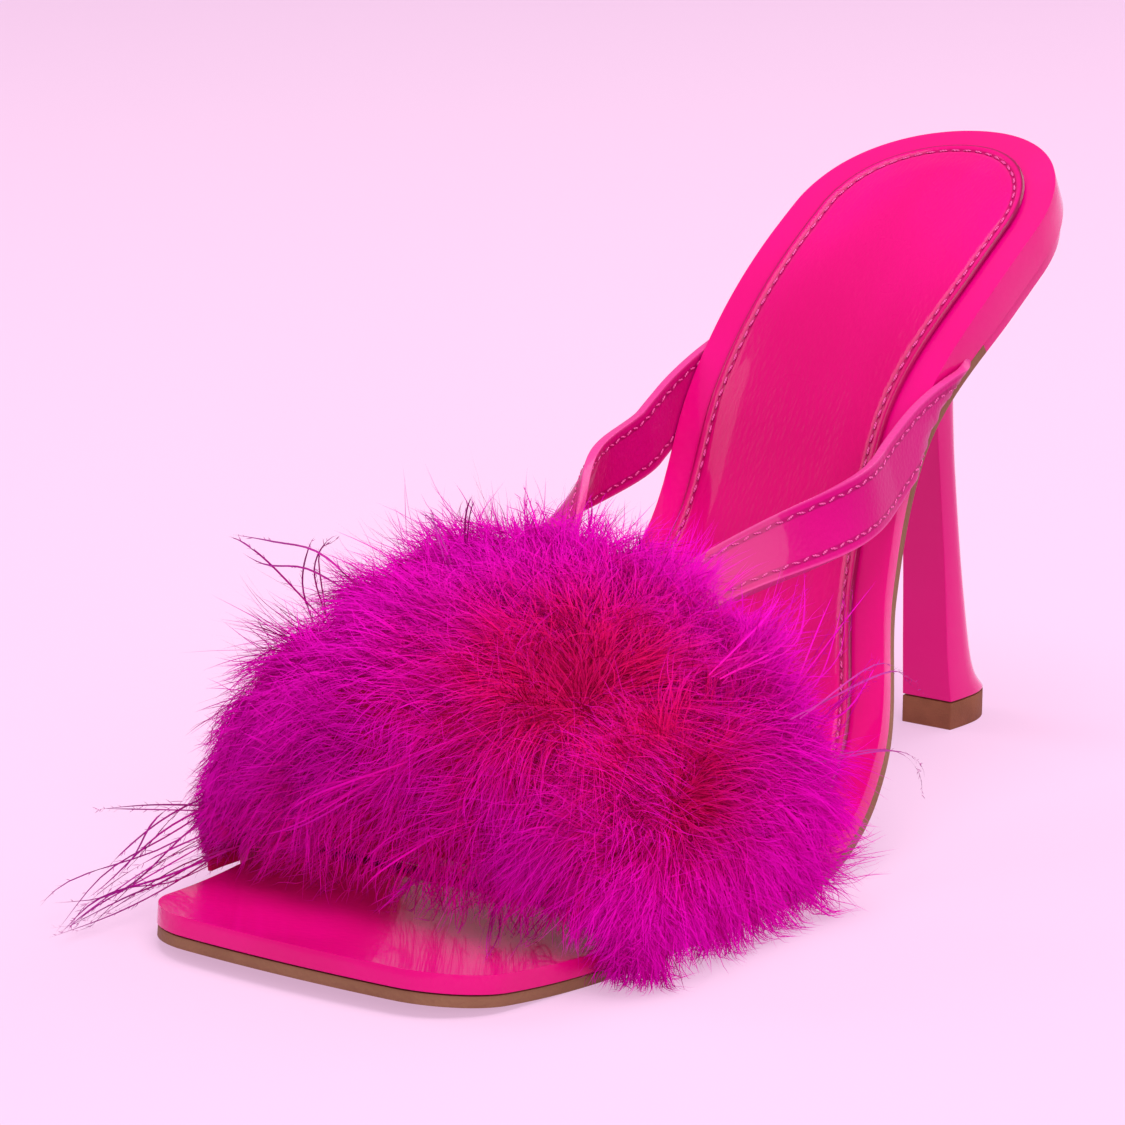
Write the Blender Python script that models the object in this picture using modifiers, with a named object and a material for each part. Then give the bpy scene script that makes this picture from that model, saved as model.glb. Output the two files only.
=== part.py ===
"""Feather-trimmed high-heeled mule, a left shoe.

The toe points towards -Y, the wearer's left is +X and the floor is z = 0. The origin lies under
the middle of the flat tread. The sole's layers are flat patterns, given across (x), along the
sole (s) and as a height above its underside (h), and bent along one side profile.
"""

import math
import random

import bmesh
import bpy
import numpy as np
from mathutils import Vector

# Driving dimensions of the last, in metres and degrees
SOLE_LENGTH = 0.248          # along the sole's underside, toe to back of the seat
HEEL_HEIGHT = 0.100          # floor to the sole's underside at the back of the seat
TOE_WIDTH = 0.063
BALL_WIDTH = 0.077
WAIST_WIDTH = 0.047
SEAT_WIDTH = 0.050
TOE_CORNER = 0.0112          # radius of the square toe's corners
TOE_BOW = 0.0025             # how far the toe's edge bulges forward
TOE_PITCH = 9.0              # how steeply the toe's tip lifts off the floor
SEAT_ROUND = 0.027           # length of the seat's round back

# Layers of the sole, from the floor up
GAP = 0.0003                 # between any two pieces that touch
OUTSOLE_THICKNESS = 0.0018
OUTSOLE_INSET = 0.0002
FOOTBED_THICKNESS = 0.0030   # at the forefoot and waist
SEAT_THICKNESS = 0.0068      # of the footbed at the seat
FOOTBED_EDGE = 0.0014        # rounding of the wrapped edge
SEAT_DISH = 0.0014           # hollow of the seat in the middle
SOCK_THICKNESS = 0.0008
SOCK_INSET = 0.0055
SOCK_START = 0.190           # share of the length where the sock's front edge lies

# Heel
BREAST = 0.805               # share of the length where the heel's breast meets the sole
HEEL_INSET = 0.0012          # of the heel's cup inside the footbed's edge
CUP_RIM = 0.0030             # height of the cup's straight rim
HEEL_SIDESHIFT = 0.0005      # of the heel's tip towards the wearer's left
TIP_BREAST = 0.131           # how far the tip's breast lies behind the origin
TIP_WIDTH = 0.0112
TIP_DEPTH = 0.0160
TOP_PIECE_THICKNESS = 0.0050
BREAST_FLAT = 0.92           # share of the heel's width that its flat breast takes
BELLY = 0.42                 # share of the heel's depth where it is widest

# Upper
STRAP_THICKNESS = 0.0015
STRAP_WIDTH = 0.0108
STRAP_SLANT = 62.0           # of a strap to the upright where it passes the footbed's edge
STRAP_CROSSING = 0.735       # share of the length where a strap passes the footbed's edge
STRAP_TUCK = 0.0085          # of every end under the footbed
STRAP_BEND = 0.0015          # radius of the fold round the footbed's edge
REBATE_RELIEF = 0.0009       # extra height of the footbed's rebates where the ends fold
STRAP_SPREAD = 0.0125        # of each strap from the middle where it meets the band
STRAP_LAP = 0.55             # share of the band's width that each strap runs under it
STRAP_SEAT = 0.0009          # of a strap's middle layer under the band's, where they are joined
STRAP_LIFT = 0.0030          # how far the straps bow upwards between their ends
STRAP_BOW = 0.0040           # and sideways
STRAP_FREE = 0.0030          # how far a strap follows the footbed's side above its fold
STRAP_HANDLE = 0.36          # share of its free length over which each end keeps its direction
BAND_FRONT = 0.150           # share of the length at the vamp band's front edge
BAND_REAR = 0.312            # share of the length at its rear edge
BAND_FRONT_HEIGHT = 0.0330   # of the band's arch over the sole's underside
BAND_REAR_HEIGHT = 0.0460
BAND_PEAK = -0.004           # the arch peaks over the big toe's side
ARCH_FULLNESS = 2.3          # 2 is an ellipse, more is squarer

# Feather trim
TRIM_THICKNESS = 0.0150      # of the pouf over the middle of the band
TRIM_RIM = 0.42              # share of that thickness at the pouf's rim
TRIM_OVERHANG = 0.0090       # of the pouf past the band's front and rear edges
TRIM_LIFT = 0.0030           # how far the pouf's rear overhang lifts off the band's own line
TRIM_HEM = 0.0105            # height over the sole's underside of its fringe before the toes
TRIM_FLOOR = 0.0028          # height of the pouf's lower ends above the floor
LOCK_LENGTH = 0.0150         # of the longest lock outside the pouf
LOCK_RADIUS = 0.0026         # at its root
LOCK_SPACING = 0.0080        # between neighbouring locks
LOCK_FLOOR = 0.0095          # of the lowest lock above the floor, clear of the footbed
LOCK_TRIES = 900             # places that are tried for locks, one after the other
LOCK_SEED = 11

# Side profile: share of the length, pitch there as a share of the shank's steepest pitch.
# The shank's pitch itself is solved so that the seat reaches the heel's height.
PITCH_ROWS = (
    (0.13, 0.00),
    (0.33, 0.00),
    (0.45, 0.91),
    (0.58, 1.00),
    (0.70, 0.98),
    (0.83, 0.69),
    (1.00, 0.54),
)
TREAD_MIDDLE = 0.23          # share of the length, halfway along the flat tread

# Outline: share of the length, the width that the row follows, and the shares of that width
# that lie on the wearer's left and right of the middle
OUTLINE_ROWS = (
    (0.00, TOE_WIDTH, 0.510, 0.490),
    (0.10, TOE_WIDTH, 0.575, 0.540),
    (0.16, BALL_WIDTH, 0.496, 0.464),
    (0.26, BALL_WIDTH, 0.500, 0.487),
    (0.37, BALL_WIDTH, 0.522, 0.474),
    (0.48, BALL_WIDTH, 0.496, 0.400),
    (0.60, WAIST_WIDTH, 0.574, 0.494),
    (0.72, WAIST_WIDTH, 0.442, 0.558),
    (0.84, SEAT_WIDTH, 0.462, 0.530),
    (0.92, SEAT_WIDTH, 0.468, 0.520),
)

# Heel sections from the neck down to the tip: height as a share of the heel's height, then width,
# depth and how far the breast lies forward of the tip's, as shares of the tip's width and depth
HEEL_ROWS = (
    (0.64, 0.80, 0.58, 0.42),
    (0.54, 0.78, 0.51, 0.32),
    (0.45, 0.79, 0.50, 0.24),
    (0.30, 0.86, 0.54, 0.14),
    (0.15, 0.92, 0.69, 0.07),
    (0.09, 0.96, 0.80, 0.03),
)
FLARE_ROWS = (               # from the cup to the neck: shares of the way down and inwards
    (0.15, 0.34),
    (0.34, 0.64),
    (0.58, 0.85),
    (0.80, 0.96),
)

LATERAL = 1
MEDIAL = -1
CURVE_STEPS = 496
CURVE_TRIES = 40
FRONT_STEPS = 10             # points along half of the toe's edge
CORNER_STEPS = 16
BACK_STEPS = 32
ARCH_STEPS = 10              # points up each side of the band's arch
BAND_ROWS = 6
STRAP_COLUMNS = 8
FOLD_ROWS = 18               # along a strap: round the footbed, free, and under the band
FREE_ROWS = 12
LAP_ROWS = 3
ROOM_ROWS = 8
TRIM_ROWS = (4, 5, 2)        # down the fringe, over the band, and behind it
LOCK_STATIONS = (0.0, 0.4, 0.75, 1.0)
LOCK_WIDTHS = (1.0, 0.85, 0.5, 0.12)
PINK = (0.76, 0.006, 0.225, 1.0)
TAN = (0.25, 0.11, 0.07, 1.0)
PLUME = (0.52, 0.002, 0.30, 1.0)


def sole_curve():
    """Work out the side profile: length along it, y, z and pitch at each step."""
    share = np.linspace(0.0, 1.0, CURVE_STEPS + 1)
    step = SOLE_LENGTH / CURVE_STEPS
    low, high = 15.0, 80.0
    for _ in range(CURVE_TRIES):
        shank = (low + high) / 2
        shares = [0.0] + [row[0] for row in PITCH_ROWS]
        pitches = [-TOE_PITCH] + [row[1] * shank for row in PITCH_ROWS]
        pitch = np.radians(np.interp(share, shares, pitches))
        middle = (pitch[1:] + pitch[:-1]) / 2
        along = np.concatenate(([0.0], np.cumsum(np.cos(middle)))) * step
        up = np.concatenate(([0.0], np.cumsum(np.sin(middle)))) * step
        up -= up.min()
        if up[-1] < HEEL_HEIGHT:
            low = shank
        else:
            high = shank
    return share * SOLE_LENGTH, along - np.interp(TREAD_MIDDLE, share, along), up, pitch


def smooth(rows, column, at):
    """Read a column of a table at a place, by a smooth curve through its rows."""
    places = np.array([row[0] for row in rows])
    values = np.array([row[column] for row in rows])
    slopes = np.gradient(values, places)
    at = np.clip(at, places[0], places[-1])
    i = np.clip(np.searchsorted(places, at) - 1, 0, len(places) - 2)
    span = places[i + 1] - places[i]
    t = (at - places[i]) / span
    return ((2 * t**3 - 3 * t**2 + 1) * values[i] + (t**3 - 2 * t**2 + t) * span * slopes[i]
            + (3 * t**2 - 2 * t**3) * values[i + 1] + (t**3 - t**2) * span * slopes[i + 1])


def ease(t):
    """Blend from 0 to 1 with no kink at either end."""
    t = min(max(t, 0.0), 1.0)
    return t * t * (3 - 2 * t)


CURVE = sole_curve()
HALF_WIDTHS = [(row[0], row[1] * row[2], row[1] * row[3]) for row in OUTLINE_ROWS]


def place(x, s, h):
    """Bend a point of the flat pattern into the shoe."""
    pitch = np.interp(s, CURVE[0], CURVE[3])
    y = np.interp(s, CURVE[0], CURVE[1]) - h * math.sin(pitch)
    z = np.interp(s, CURVE[0], CURVE[2]) + h * math.cos(pitch)
    return Vector((x, y, z))


def bent(direction_x, direction_s, direction_h, s):
    """Turn a direction of the flat pattern into the shoe."""
    pitch = np.interp(s, CURVE[0], CURVE[3])
    y = direction_s * math.cos(pitch) - direction_h * math.sin(pitch)
    z = direction_s * math.sin(pitch) + direction_h * math.cos(pitch)
    return Vector((direction_x, y, z))


def half_width(s, side):
    """Distance of the footbed's edge from the middle line."""
    return float(smooth(HALF_WIDTHS, 1 if side == LATERAL else 2, np.array(s / SOLE_LENGTH)))


def footbed_thickness(x, s):
    """Thickness of the footbed: a thin board that swells to a hollowed pad at the seat."""
    share = s / SOLE_LENGTH
    seat = ease((share - 0.62) / 0.24)
    edge = half_width(s, LATERAL if x > 0 else MEDIAL)
    hollow = ease((share - 0.70) / 0.15) * (1 - min(abs(x) / edge, 1.0) ** 2)
    return FOOTBED_THICKNESS + (SEAT_THICKNESS - FOOTBED_THICKNESS) * seat - SEAT_DISH * hollow


def rim_side(side, inset):
    """Outline from the toe's middle round one side to the back, as (x, s) points."""
    front_edge = half_width(0.0, side) - TOE_CORNER
    points = [(front_edge * t, 0.0) for t in np.linspace(0, 1, FRONT_STEPS, endpoint=False)]
    for angle in np.linspace(0, math.pi / 2, CORNER_STEPS + 1):
        s = TOE_CORNER * (1 - math.cos(angle))
        points.append((half_width(s, side) - TOE_CORNER * (1 - math.sin(angle)), s))
    straight = np.linspace(TOE_CORNER, SOLE_LENGTH - SEAT_ROUND, 92)[1:-1]
    points += [(half_width(s, side), s) for s in straight]
    for angle in np.linspace(math.pi / 2, 0, BACK_STEPS + 1):
        s = SOLE_LENGTH - SEAT_ROUND * (1 - math.cos(angle))
        points.append((half_width(s, side) * math.sin(angle), s))
    rim = np.array(points)
    edge = np.array([half_width(s, side) for s in rim[:, 1]])
    fade = np.clip(1 - rim[:, 1] / (3 * TOE_CORNER), 0, 1)
    rim[:, 1] += TOE_BOW * (rim[:, 0] / edge) ** 2 * fade
    tangent = np.gradient(rim, axis=0)
    tangent[0] = (1.0, 0.0)
    tangent[-1] = (-1.0, 0.0)
    tangent /= np.linalg.norm(tangent, axis=1, keepdims=True)
    rim += inset * np.column_stack((-tangent[:, 1], tangent[:, 0]))
    rim[:, 0] *= side
    return rim


def resample(points, shares):
    """Points of a polyline at shares of its length."""
    steps = np.linalg.norm(np.diff(points, axis=0), axis=1)
    length = np.concatenate(([0.0], np.cumsum(steps)))
    return np.column_stack([np.interp(np.array(shares) * length[-1], length, points[:, k])
                            for k in range(2)])


def crowded(count, crowding):
    """Shares from 0 to 1, closer together at both ends."""
    t = np.linspace(0, 1, count + 1)
    return t - crowding * np.sin(2 * math.pi * t) / (2 * math.pi)


def split(rim, share, index):
    """Cut a side of the outline at a share of the sole's length, or else at a point of it."""
    if share is None:
        return rim[:index + 1], rim[index:]
    s = share * SOLE_LENGTH
    index = int(np.searchsorted(rim[:, 1], s))
    point = (np.interp(s, rim[:, 1], rim[:, 0]), s)
    return np.array([(0.0, s), point]), np.vstack((point, rim[index:]))


def pattern(inset, rows, columns, start=None, end=None):
    """Grid of (x, s) points that fills the outline, or its stretch between two shares."""
    fronts, sides, backs = [], [], []
    for side in (MEDIAL, LATERAL):
        front, rest = split(rim_side(side, inset), start, FRONT_STEPS + CORNER_STEPS // 2)
        back, rest = split(rest[::-1] * (1, -1), None if end is None else -end, BACK_STEPS // 4)
        fronts.append(front)
        sides.append(rest[::-1] * (1, -1))
        backs.append(back * (1, -1))
    across = crowded(columns, 0.45)
    down = crowded(rows, 0.35)
    front = resample(np.vstack((fronts[0][::-1], fronts[1][1:])), across)
    back = resample(np.vstack((backs[0][::-1], backs[1][1:])), across)
    medial = resample(sides[0], down)
    lateral = resample(sides[1], down)
    u = across[None, :, None]
    v = down[:, None, None]
    between_sides = (1 - u) * medial[:, None] + u * lateral[:, None]
    between_ends = (1 - v) * front[None] + v * back[None]
    corners = ((1 - v) * ((1 - u) * front[0] + u * front[-1])
               + v * ((1 - u) * back[0] + u * back[-1]))
    return between_sides + between_ends - corners


def collection(name):
    group = bpy.data.collections.new(name)
    bpy.context.scene.collection.children.link(group)
    return group


def material(name, colour, roughness, coat=0.0):
    finish = bpy.data.materials.new(name)
    finish.use_nodes = True
    shader = finish.node_tree.nodes["Principled BSDF"]
    shader.inputs["Base Color"].default_value = colour
    shader.inputs["Roughness"].default_value = roughness
    shader.inputs["Metallic"].default_value = 0.0
    shader.inputs["Coat Weight"].default_value = coat
    finish.diffuse_color = colour
    return finish


def add_object(name, mesh, group, finish=None):
    piece = bpy.data.objects.new(name, mesh)
    group.objects.link(piece)
    if finish:
        mesh.materials.append(finish)
    return piece


def sheet(name, points, group, finish=None, shares=None):
    """A grid whose vertices lie on the given rows of points, with a thickness share for each."""
    rows, columns = len(points) - 1, len(points[0]) - 1
    bm = bmesh.new()
    bmesh.ops.create_grid(bm, x_segments=columns, y_segments=rows, size=1.0)
    weights = bm.verts.layers.deform.verify()
    for vertex in bm.verts:
        column = round((vertex.co.x + 1) / 2 * columns)
        row = round((vertex.co.y + 1) / 2 * rows)
        vertex.co = points[row][column]
        if shares is not None:
            vertex[weights][0] = shares[row][column]
    mesh = bpy.data.meshes.new(name)
    bm.to_mesh(mesh)
    bm.free()
    piece = add_object(name, mesh, group, finish)
    piece.vertex_groups.new(name="thickness")
    return piece


def solidify(piece, thickness, offset=0.0, weighed=False):
    """Give a sheet its thickness; offset 1 grows it upwards and 0 to both sides."""
    shell = piece.modifiers.new("thickness", "SOLIDIFY")
    shell.thickness = thickness
    shell.offset = offset
    shell.use_quality_normals = True
    if weighed:
        shell.vertex_group = "thickness"
    else:
        shell.use_even_offset = True


def boolean(piece, other, operation):
    join = piece.modifiers.new(other.name, "BOOLEAN")
    join.operation = operation
    join.object = other


def hide(piece):
    piece.hide_render = True
    piece.display_type = "WIRE"


def smooth_shade(piece):
    piece.data.shade_smooth()
    piece.data.set_sharp_from_angle(angle=math.radians(35))


def build_outsole(group, finish):
    """Thin sole from the toe to the heel's breast."""
    cells = pattern(OUTSOLE_INSET, 36, 6, end=BREAST)
    piece = sheet("outsole", [[place(x, s, 0.0) for x, s in row] for row in cells], group, finish)
    solidify(piece, OUTSOLE_THICKNESS, offset=1.0)


def build_footbed(group, finish, rooms):
    """Wrapped board with rounded edges, rebated underneath for the upper's tucked ends."""
    cells = pattern(0.0, 44, 6)
    points = [[place(x, s, OUTSOLE_THICKNESS + GAP) for x, s in row] for row in cells]
    shares = [[footbed_thickness(x, s) / SEAT_THICKNESS for x, s in row] for row in cells]
    piece = sheet("footbed", points, group, finish, shares)
    solidify(piece, SEAT_THICKNESS, offset=1.0, weighed=True)
    edge = piece.modifiers.new("edge", "BEVEL")
    edge.width = FOOTBED_EDGE
    edge.segments = 2
    edge.limit_method = "ANGLE"
    edge.angle_limit = math.radians(50)
    for room in rooms:
        boolean(piece, room, "DIFFERENCE")
    smooth_shade(piece)


def build_insole(group, finish):
    """Sock lining on the footbed, from under the vamp band to the back of the seat."""
    cells = pattern(SOCK_INSET, 32, 6, start=SOCK_START)
    low = OUTSOLE_THICKNESS + 2 * GAP
    points = [[place(x, s, low + footbed_thickness(x, s)) for x, s in row] for row in cells]
    piece = sheet("insole", points, group, finish)
    solidify(piece, SOCK_THICKNESS, offset=1.0)


def round_back(height, width, depth, breast, sides, back):
    """A flat section of the heel: a straight breast and a round back, from medial to medial."""
    corner = math.acos(BREAST_FLAT)
    belly = BELLY * depth
    half = width / 2
    ring = [Vector((HEEL_SIDESHIFT + half * BREAST_FLAT * t, breast, height))
            for t in (crowded(back, 0.45) * 2 - 1)]
    count = 2 * sides + back
    for k in range(1, count):
        angle = -corner + (math.pi + 2 * corner) * k / count
        reach = (depth - belly) if angle > 0 and angle < math.pi else belly / math.sin(corner)
        ring.append(Vector((HEEL_SIDESHIFT + half * math.cos(angle),
                            breast + belly + reach * math.sin(angle), height)))
    return ring


def loft(name, top, rings, group, finish):
    """Close a grid of points on top with rings of points below, the last one filled flat."""
    bm = bmesh.new()
    grid = [[bm.verts.new(point) for point in row] for row in top]
    for low, high in zip(grid, grid[1:]):
        for k in range(len(low) - 1):
            bm.faces.new((low[k], low[k + 1], high[k + 1], high[k]))
    upper = (grid[0] + [row[-1] for row in grid[1:]] + grid[-1][-2::-1]
             + [row[0] for row in grid[-2:0:-1]])
    for ring in rings:
        lower = [bm.verts.new(point) for point in ring]
        for k in range(len(upper)):
            following = (k + 1) % len(upper)
            bm.faces.new((upper[following], upper[k], lower[k], lower[following]))
        upper = lower
    bm.faces.new(upper[::-1])
    mesh = bpy.data.meshes.new(name)
    bm.to_mesh(mesh)
    bm.free()
    piece = add_object(name, mesh, group, finish)
    smooth_shade(piece)


def build_heel(group, finish):
    """Covered heel: a cup under the seat, a flare to the narrow neck and a flared tip."""
    sides, back = 10, 6
    cells = pattern(HEEL_INSET, sides, back, start=BREAST + GAP / SOLE_LENGTH)
    top = [[place(x, s, OUTSOLE_THICKNESS) for x, s in row] for row in cells]
    rim = [[place(x, s, OUTSOLE_THICKNESS - CUP_RIM) for x, s in row] for row in cells]
    cup = (rim[0] + [row[-1] for row in rim[1:]] + rim[-1][-2::-1]
           + [row[0] for row in rim[-2:0:-1]])
    sections = [round_back(height * HEEL_HEIGHT, width * TIP_WIDTH, depth * TIP_DEPTH,
                           TIP_BREAST - forward * TIP_DEPTH, sides, back)
                for height, width, depth, forward in HEEL_ROWS]
    neck = sections[0]
    rings = [cup]
    for down, inwards in FLARE_ROWS:
        rings.append([Vector((a.x + (b.x - a.x) * inwards, a.y + (b.y - a.y) * inwards,
                              a.z + (b.z - a.z) * down)) for a, b in zip(cup, neck)])
    rings += sections
    rings.append(round_back(TOP_PIECE_THICKNESS + GAP, TIP_WIDTH, TIP_DEPTH, TIP_BREAST,
                            sides, back))
    loft("heel", top, rings, group, finish)


def build_top_piece(group, finish):
    """Flat wear piece of the tip's own section."""
    ring = round_back(0.0, TIP_WIDTH, TIP_DEPTH, TIP_BREAST, 10, 6)
    bm = bmesh.new()
    face = bm.faces.new([bm.verts.new(point) for point in ring])
    raised = bmesh.ops.extrude_face_region(bm, geom=[face], use_keep_orig=True)
    corners = [item for item in raised["geom"] if isinstance(item, bmesh.types.BMVert)]
    bmesh.ops.translate(bm, verts=corners, vec=(0.0, 0.0, TOP_PIECE_THICKNESS))
    bmesh.ops.recalc_face_normals(bm, faces=bm.faces)
    mesh = bpy.data.meshes.new("heel_top_piece")
    bm.to_mesh(mesh)
    bm.free()
    add_object("heel_top_piece", mesh, group, finish)


def fold(q, s, side):
    """A point of the upper's middle layer round the footbed's edge, as (x, s, h).

    q runs from the tucked end outwards under the footbed, round the bend and up its wall.
    """
    wall = half_width(s, side) + GAP + STRAP_THICKNESS / 2
    level = OUTSOLE_THICKNESS + GAP + STRAP_THICKNESS / 2
    under = STRAP_TUCK + wall - half_width(s, side) - STRAP_BEND
    bend = STRAP_BEND * math.pi / 2
    if q < under:
        return side * (wall - STRAP_BEND - under + q), s, level
    if q < under + bend:
        angle = (q - under) / STRAP_BEND
        return (side * (wall - STRAP_BEND * (1 - math.sin(angle))), s,
                level + STRAP_BEND * (1 - math.cos(angle)))
    return side * wall, s, level + STRAP_BEND + q - under - bend


def fold_length():
    """Length of the middle layer from a tucked end to the top of its bend."""
    under = STRAP_TUCK + GAP + STRAP_THICKNESS / 2 - STRAP_BEND
    return under, under + STRAP_BEND * math.pi / 2


def arch(turn, s, out=0.0):
    """A point of the band's arch as (x, s, h): turn 0 and pi are the walls, half pi the top."""
    side = LATERAL if turn < math.pi / 2 else MEDIAL
    foot = OUTSOLE_THICKNESS + GAP + STRAP_THICKNESS / 2 + STRAP_BEND
    share = (s / SOLE_LENGTH - BAND_FRONT) / (BAND_REAR - BAND_FRONT)
    height = BAND_FRONT_HEIGHT + (BAND_REAR_HEIGHT - BAND_FRONT_HEIGHT) * share
    wall = side * (half_width(s, side) + GAP + STRAP_THICKNESS / 2 + out)
    power = 2 / ARCH_FULLNESS
    x = BAND_PEAK + (wall - BAND_PEAK) * abs(math.cos(turn)) ** power
    return x, s, foot + (height + out - foot) * math.sin(turn) ** power


def band_points():
    """Middle layer of the vamp band, from its front edge to its rear edge."""
    under, bent_up = fold_length()
    lengths = (0.0, under / 2, under, (under + bent_up) / 2)
    turns = [math.pi * k / (2 * ARCH_STEPS) for k in range(2 * ARCH_STEPS + 1)]
    rows = []
    for v in np.linspace(0, 1, BAND_ROWS + 1):
        s = SOLE_LENGTH * (BAND_FRONT + v * (BAND_REAR - BAND_FRONT))
        row = [fold(q, s, MEDIAL) for q in lengths]
        row += [arch(turn, s) for turn in reversed(turns)]
        row += [fold(q, s, LATERAL) for q in reversed(lengths)]
        rows.append([place(*point) for point in row])
    return rows


def band_frame(x, v):
    """Where the band lies over a place across it: the point, its normal and its forward way."""
    s = SOLE_LENGTH * (BAND_FRONT + v * (BAND_REAR - BAND_FRONT))
    turns = np.linspace(math.pi - 0.05, 0.05, 200)
    turn = np.interp(x, [arch(t, s)[0] for t in turns], turns)
    point = place(*arch(turn, s))
    forward = (place(*arch(turn, s - 0.001)) - point).normalized()
    across = (place(*arch(turn - 0.01, s)) - point).normalized()
    return point, forward.cross(across).normalized(), forward


def strap_fold(side):
    """Rows of points of a strap where it follows the footbed, until it stands clear above it."""
    slant = math.radians(STRAP_SLANT)
    under, bent_up = fold_length()
    half = STRAP_WIDTH / 2
    crossing = (under + bent_up) / 2 / math.cos(slant)
    clear = (bent_up + STRAP_FREE + half * math.sin(slant)) / math.cos(slant)
    first_s = STRAP_CROSSING * SOLE_LENGTH + crossing * math.sin(slant)
    rows = []
    for a in np.linspace(0.0, clear, FOLD_ROWS + 1):
        row = []
        for b in np.linspace(-half, half, STRAP_COLUMNS + 1):
            s = first_s - a * math.sin(slant) + b * math.cos(slant)
            row.append(place(*fold(a * math.cos(slant) + b * math.sin(slant), s, side)))
        rows.append(row)
    return rows


def strap_flight(side, last, before):
    """Centres and facings of a strap from its last fitted row to its end under the band."""
    middle = len(last) // 2
    start = last[middle]
    way = (start - before[middle]).normalized()
    facing = (last[-1] - last[0]).cross(way).normalized() * side
    end, end_facing, end_way = band_frame(side * STRAP_SPREAD, 1.0)
    end -= end_facing * STRAP_SEAT
    reach = (end - start).length * STRAP_HANDLE
    handles = (start, start + way * reach, end - end_way * reach, end)
    centres, facings = [start], [facing]
    for t in np.linspace(0, 1, FREE_ROWS + 1)[1:]:
        weights = ((1 - t)**3, 3 * t * (1 - t)**2, 3 * t * t * (1 - t), t**3)
        point = sum((handle * weight for handle, weight in zip(handles, weights)), Vector())
        bow = Vector((side * STRAP_BOW, 0.0, STRAP_LIFT)) * (4 * t * (1 - t)) ** 1.5
        centres.append(point + bow)
        facings.append(facing.lerp(end_facing, ease(t)).normalized())
    for t in np.linspace(0, 1, LAP_ROWS + 1)[1:]:
        point, normal, _ = band_frame(side * STRAP_SPREAD, 1.0 - STRAP_LAP * t)
        centres.append(point - normal * STRAP_SEAT)
        facings.append(normal)
    return centres, facings


def strap_points(side):
    """Rows of points along an instep strap, from its tucked end to under the band."""
    rows = strap_fold(side)
    centres, facings = strap_flight(side, rows[-1], rows[-2])
    across = np.linspace(-STRAP_WIDTH / 2, STRAP_WIDTH / 2, STRAP_COLUMNS + 1)
    for k in range(1, len(centres)):
        forward = (centres[min(k + 1, len(centres) - 1)] - centres[k - 1]).normalized()
        width = forward.cross(facings[k]).normalized() * side
        rows.append([centres[k] + width * b for b in across])
    return rows


def strap_name(side):
    return "strap_left" if side == LATERAL else "strap_right"


def build_upper(group, finish, helpers):
    """Vamp band and two instep straps, joined under the band into one leather solid."""
    piece = sheet("upper", band_points(), group, finish)
    solidify(piece, STRAP_THICKNESS)
    for side in (LATERAL, MEDIAL):
        strap = sheet(strap_name(side), strap_points(side), helpers)
        solidify(strap, STRAP_THICKNESS)
        hide(strap)
        boolean(piece, strap, "UNION")
    smooth_shade(piece)


def rebate_ceiling(q, s, side, relief):
    """Top of the room for a tucked end, with a relief over its bend."""
    x = half_width(s, side) - STRAP_TUCK + q
    level = OUTSOLE_THICKNESS + STRAP_THICKNESS + 2 * GAP
    return place(side * x, s, level + relief)


def build_rooms(helpers):
    """Slabs that cut the rebates for the upper's tucked ends out of the footbed's underside."""
    slant = math.radians(STRAP_SLANT)
    under, bent_up = fold_length()
    first_s = STRAP_CROSSING * SOLE_LENGTH + (under + bent_up) / 2 * math.tan(slant)
    half = STRAP_WIDTH / 2 + REBATE_RELIEF
    outside = STRAP_TUCK + 2 * REBATE_RELIEF
    across = (-GAP, STRAP_TUCK / 2, STRAP_TUCK - REBATE_RELIEF, STRAP_TUCK, outside)
    rooms = []
    for side in (LATERAL, MEDIAL):
        places = np.linspace(SOLE_LENGTH * BAND_FRONT - GAP, SOLE_LENGTH * BAND_REAR + GAP,
                             ROOM_ROWS // 2)
        band = [[rebate_ceiling(q, s, side, max(q - across[2], 0.0)) for q in across]
                for s in places]
        rooms.append(sheet("band_room", band, helpers))
        end = (outside + half * math.sin(slant)) / math.cos(slant)
        strap = [[rebate_ceiling(a * math.cos(slant) + b * math.sin(slant),
                                 first_s - a * math.sin(slant) + b * math.cos(slant), side,
                                 REBATE_RELIEF)
                  for b in (-half, 0.0, half)] for a in np.linspace(-GAP, end, ROOM_ROWS + 1)]
        rooms.append(sheet("strap_room", strap, helpers))
    for room in rooms:
        faces_up = room.data.polygons[0].normal.z > 0
        solidify(room, 2 * STRAP_THICKNESS, offset=-1.0 if faces_up else 1.0)
        hide(room)
    return rooms


def trim_stations():
    """Rows of the pouf: share of the way down the fringe, s, and share of the rear overhang."""
    front, rear = BAND_FRONT * SOLE_LENGTH, BAND_REAR * SOLE_LENGTH
    fringe, over, behind = TRIM_ROWS
    rows = [(1 - k / fringe, front, 0.0) for k in range(fringe)]
    rows += [(0.0, front + (rear - front) * k / over, 0.0) for k in range(over)]
    rows += [(0.0, rear + TRIM_OVERHANG * k / behind, k / behind) for k in range(behind + 1)]
    return rows


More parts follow.
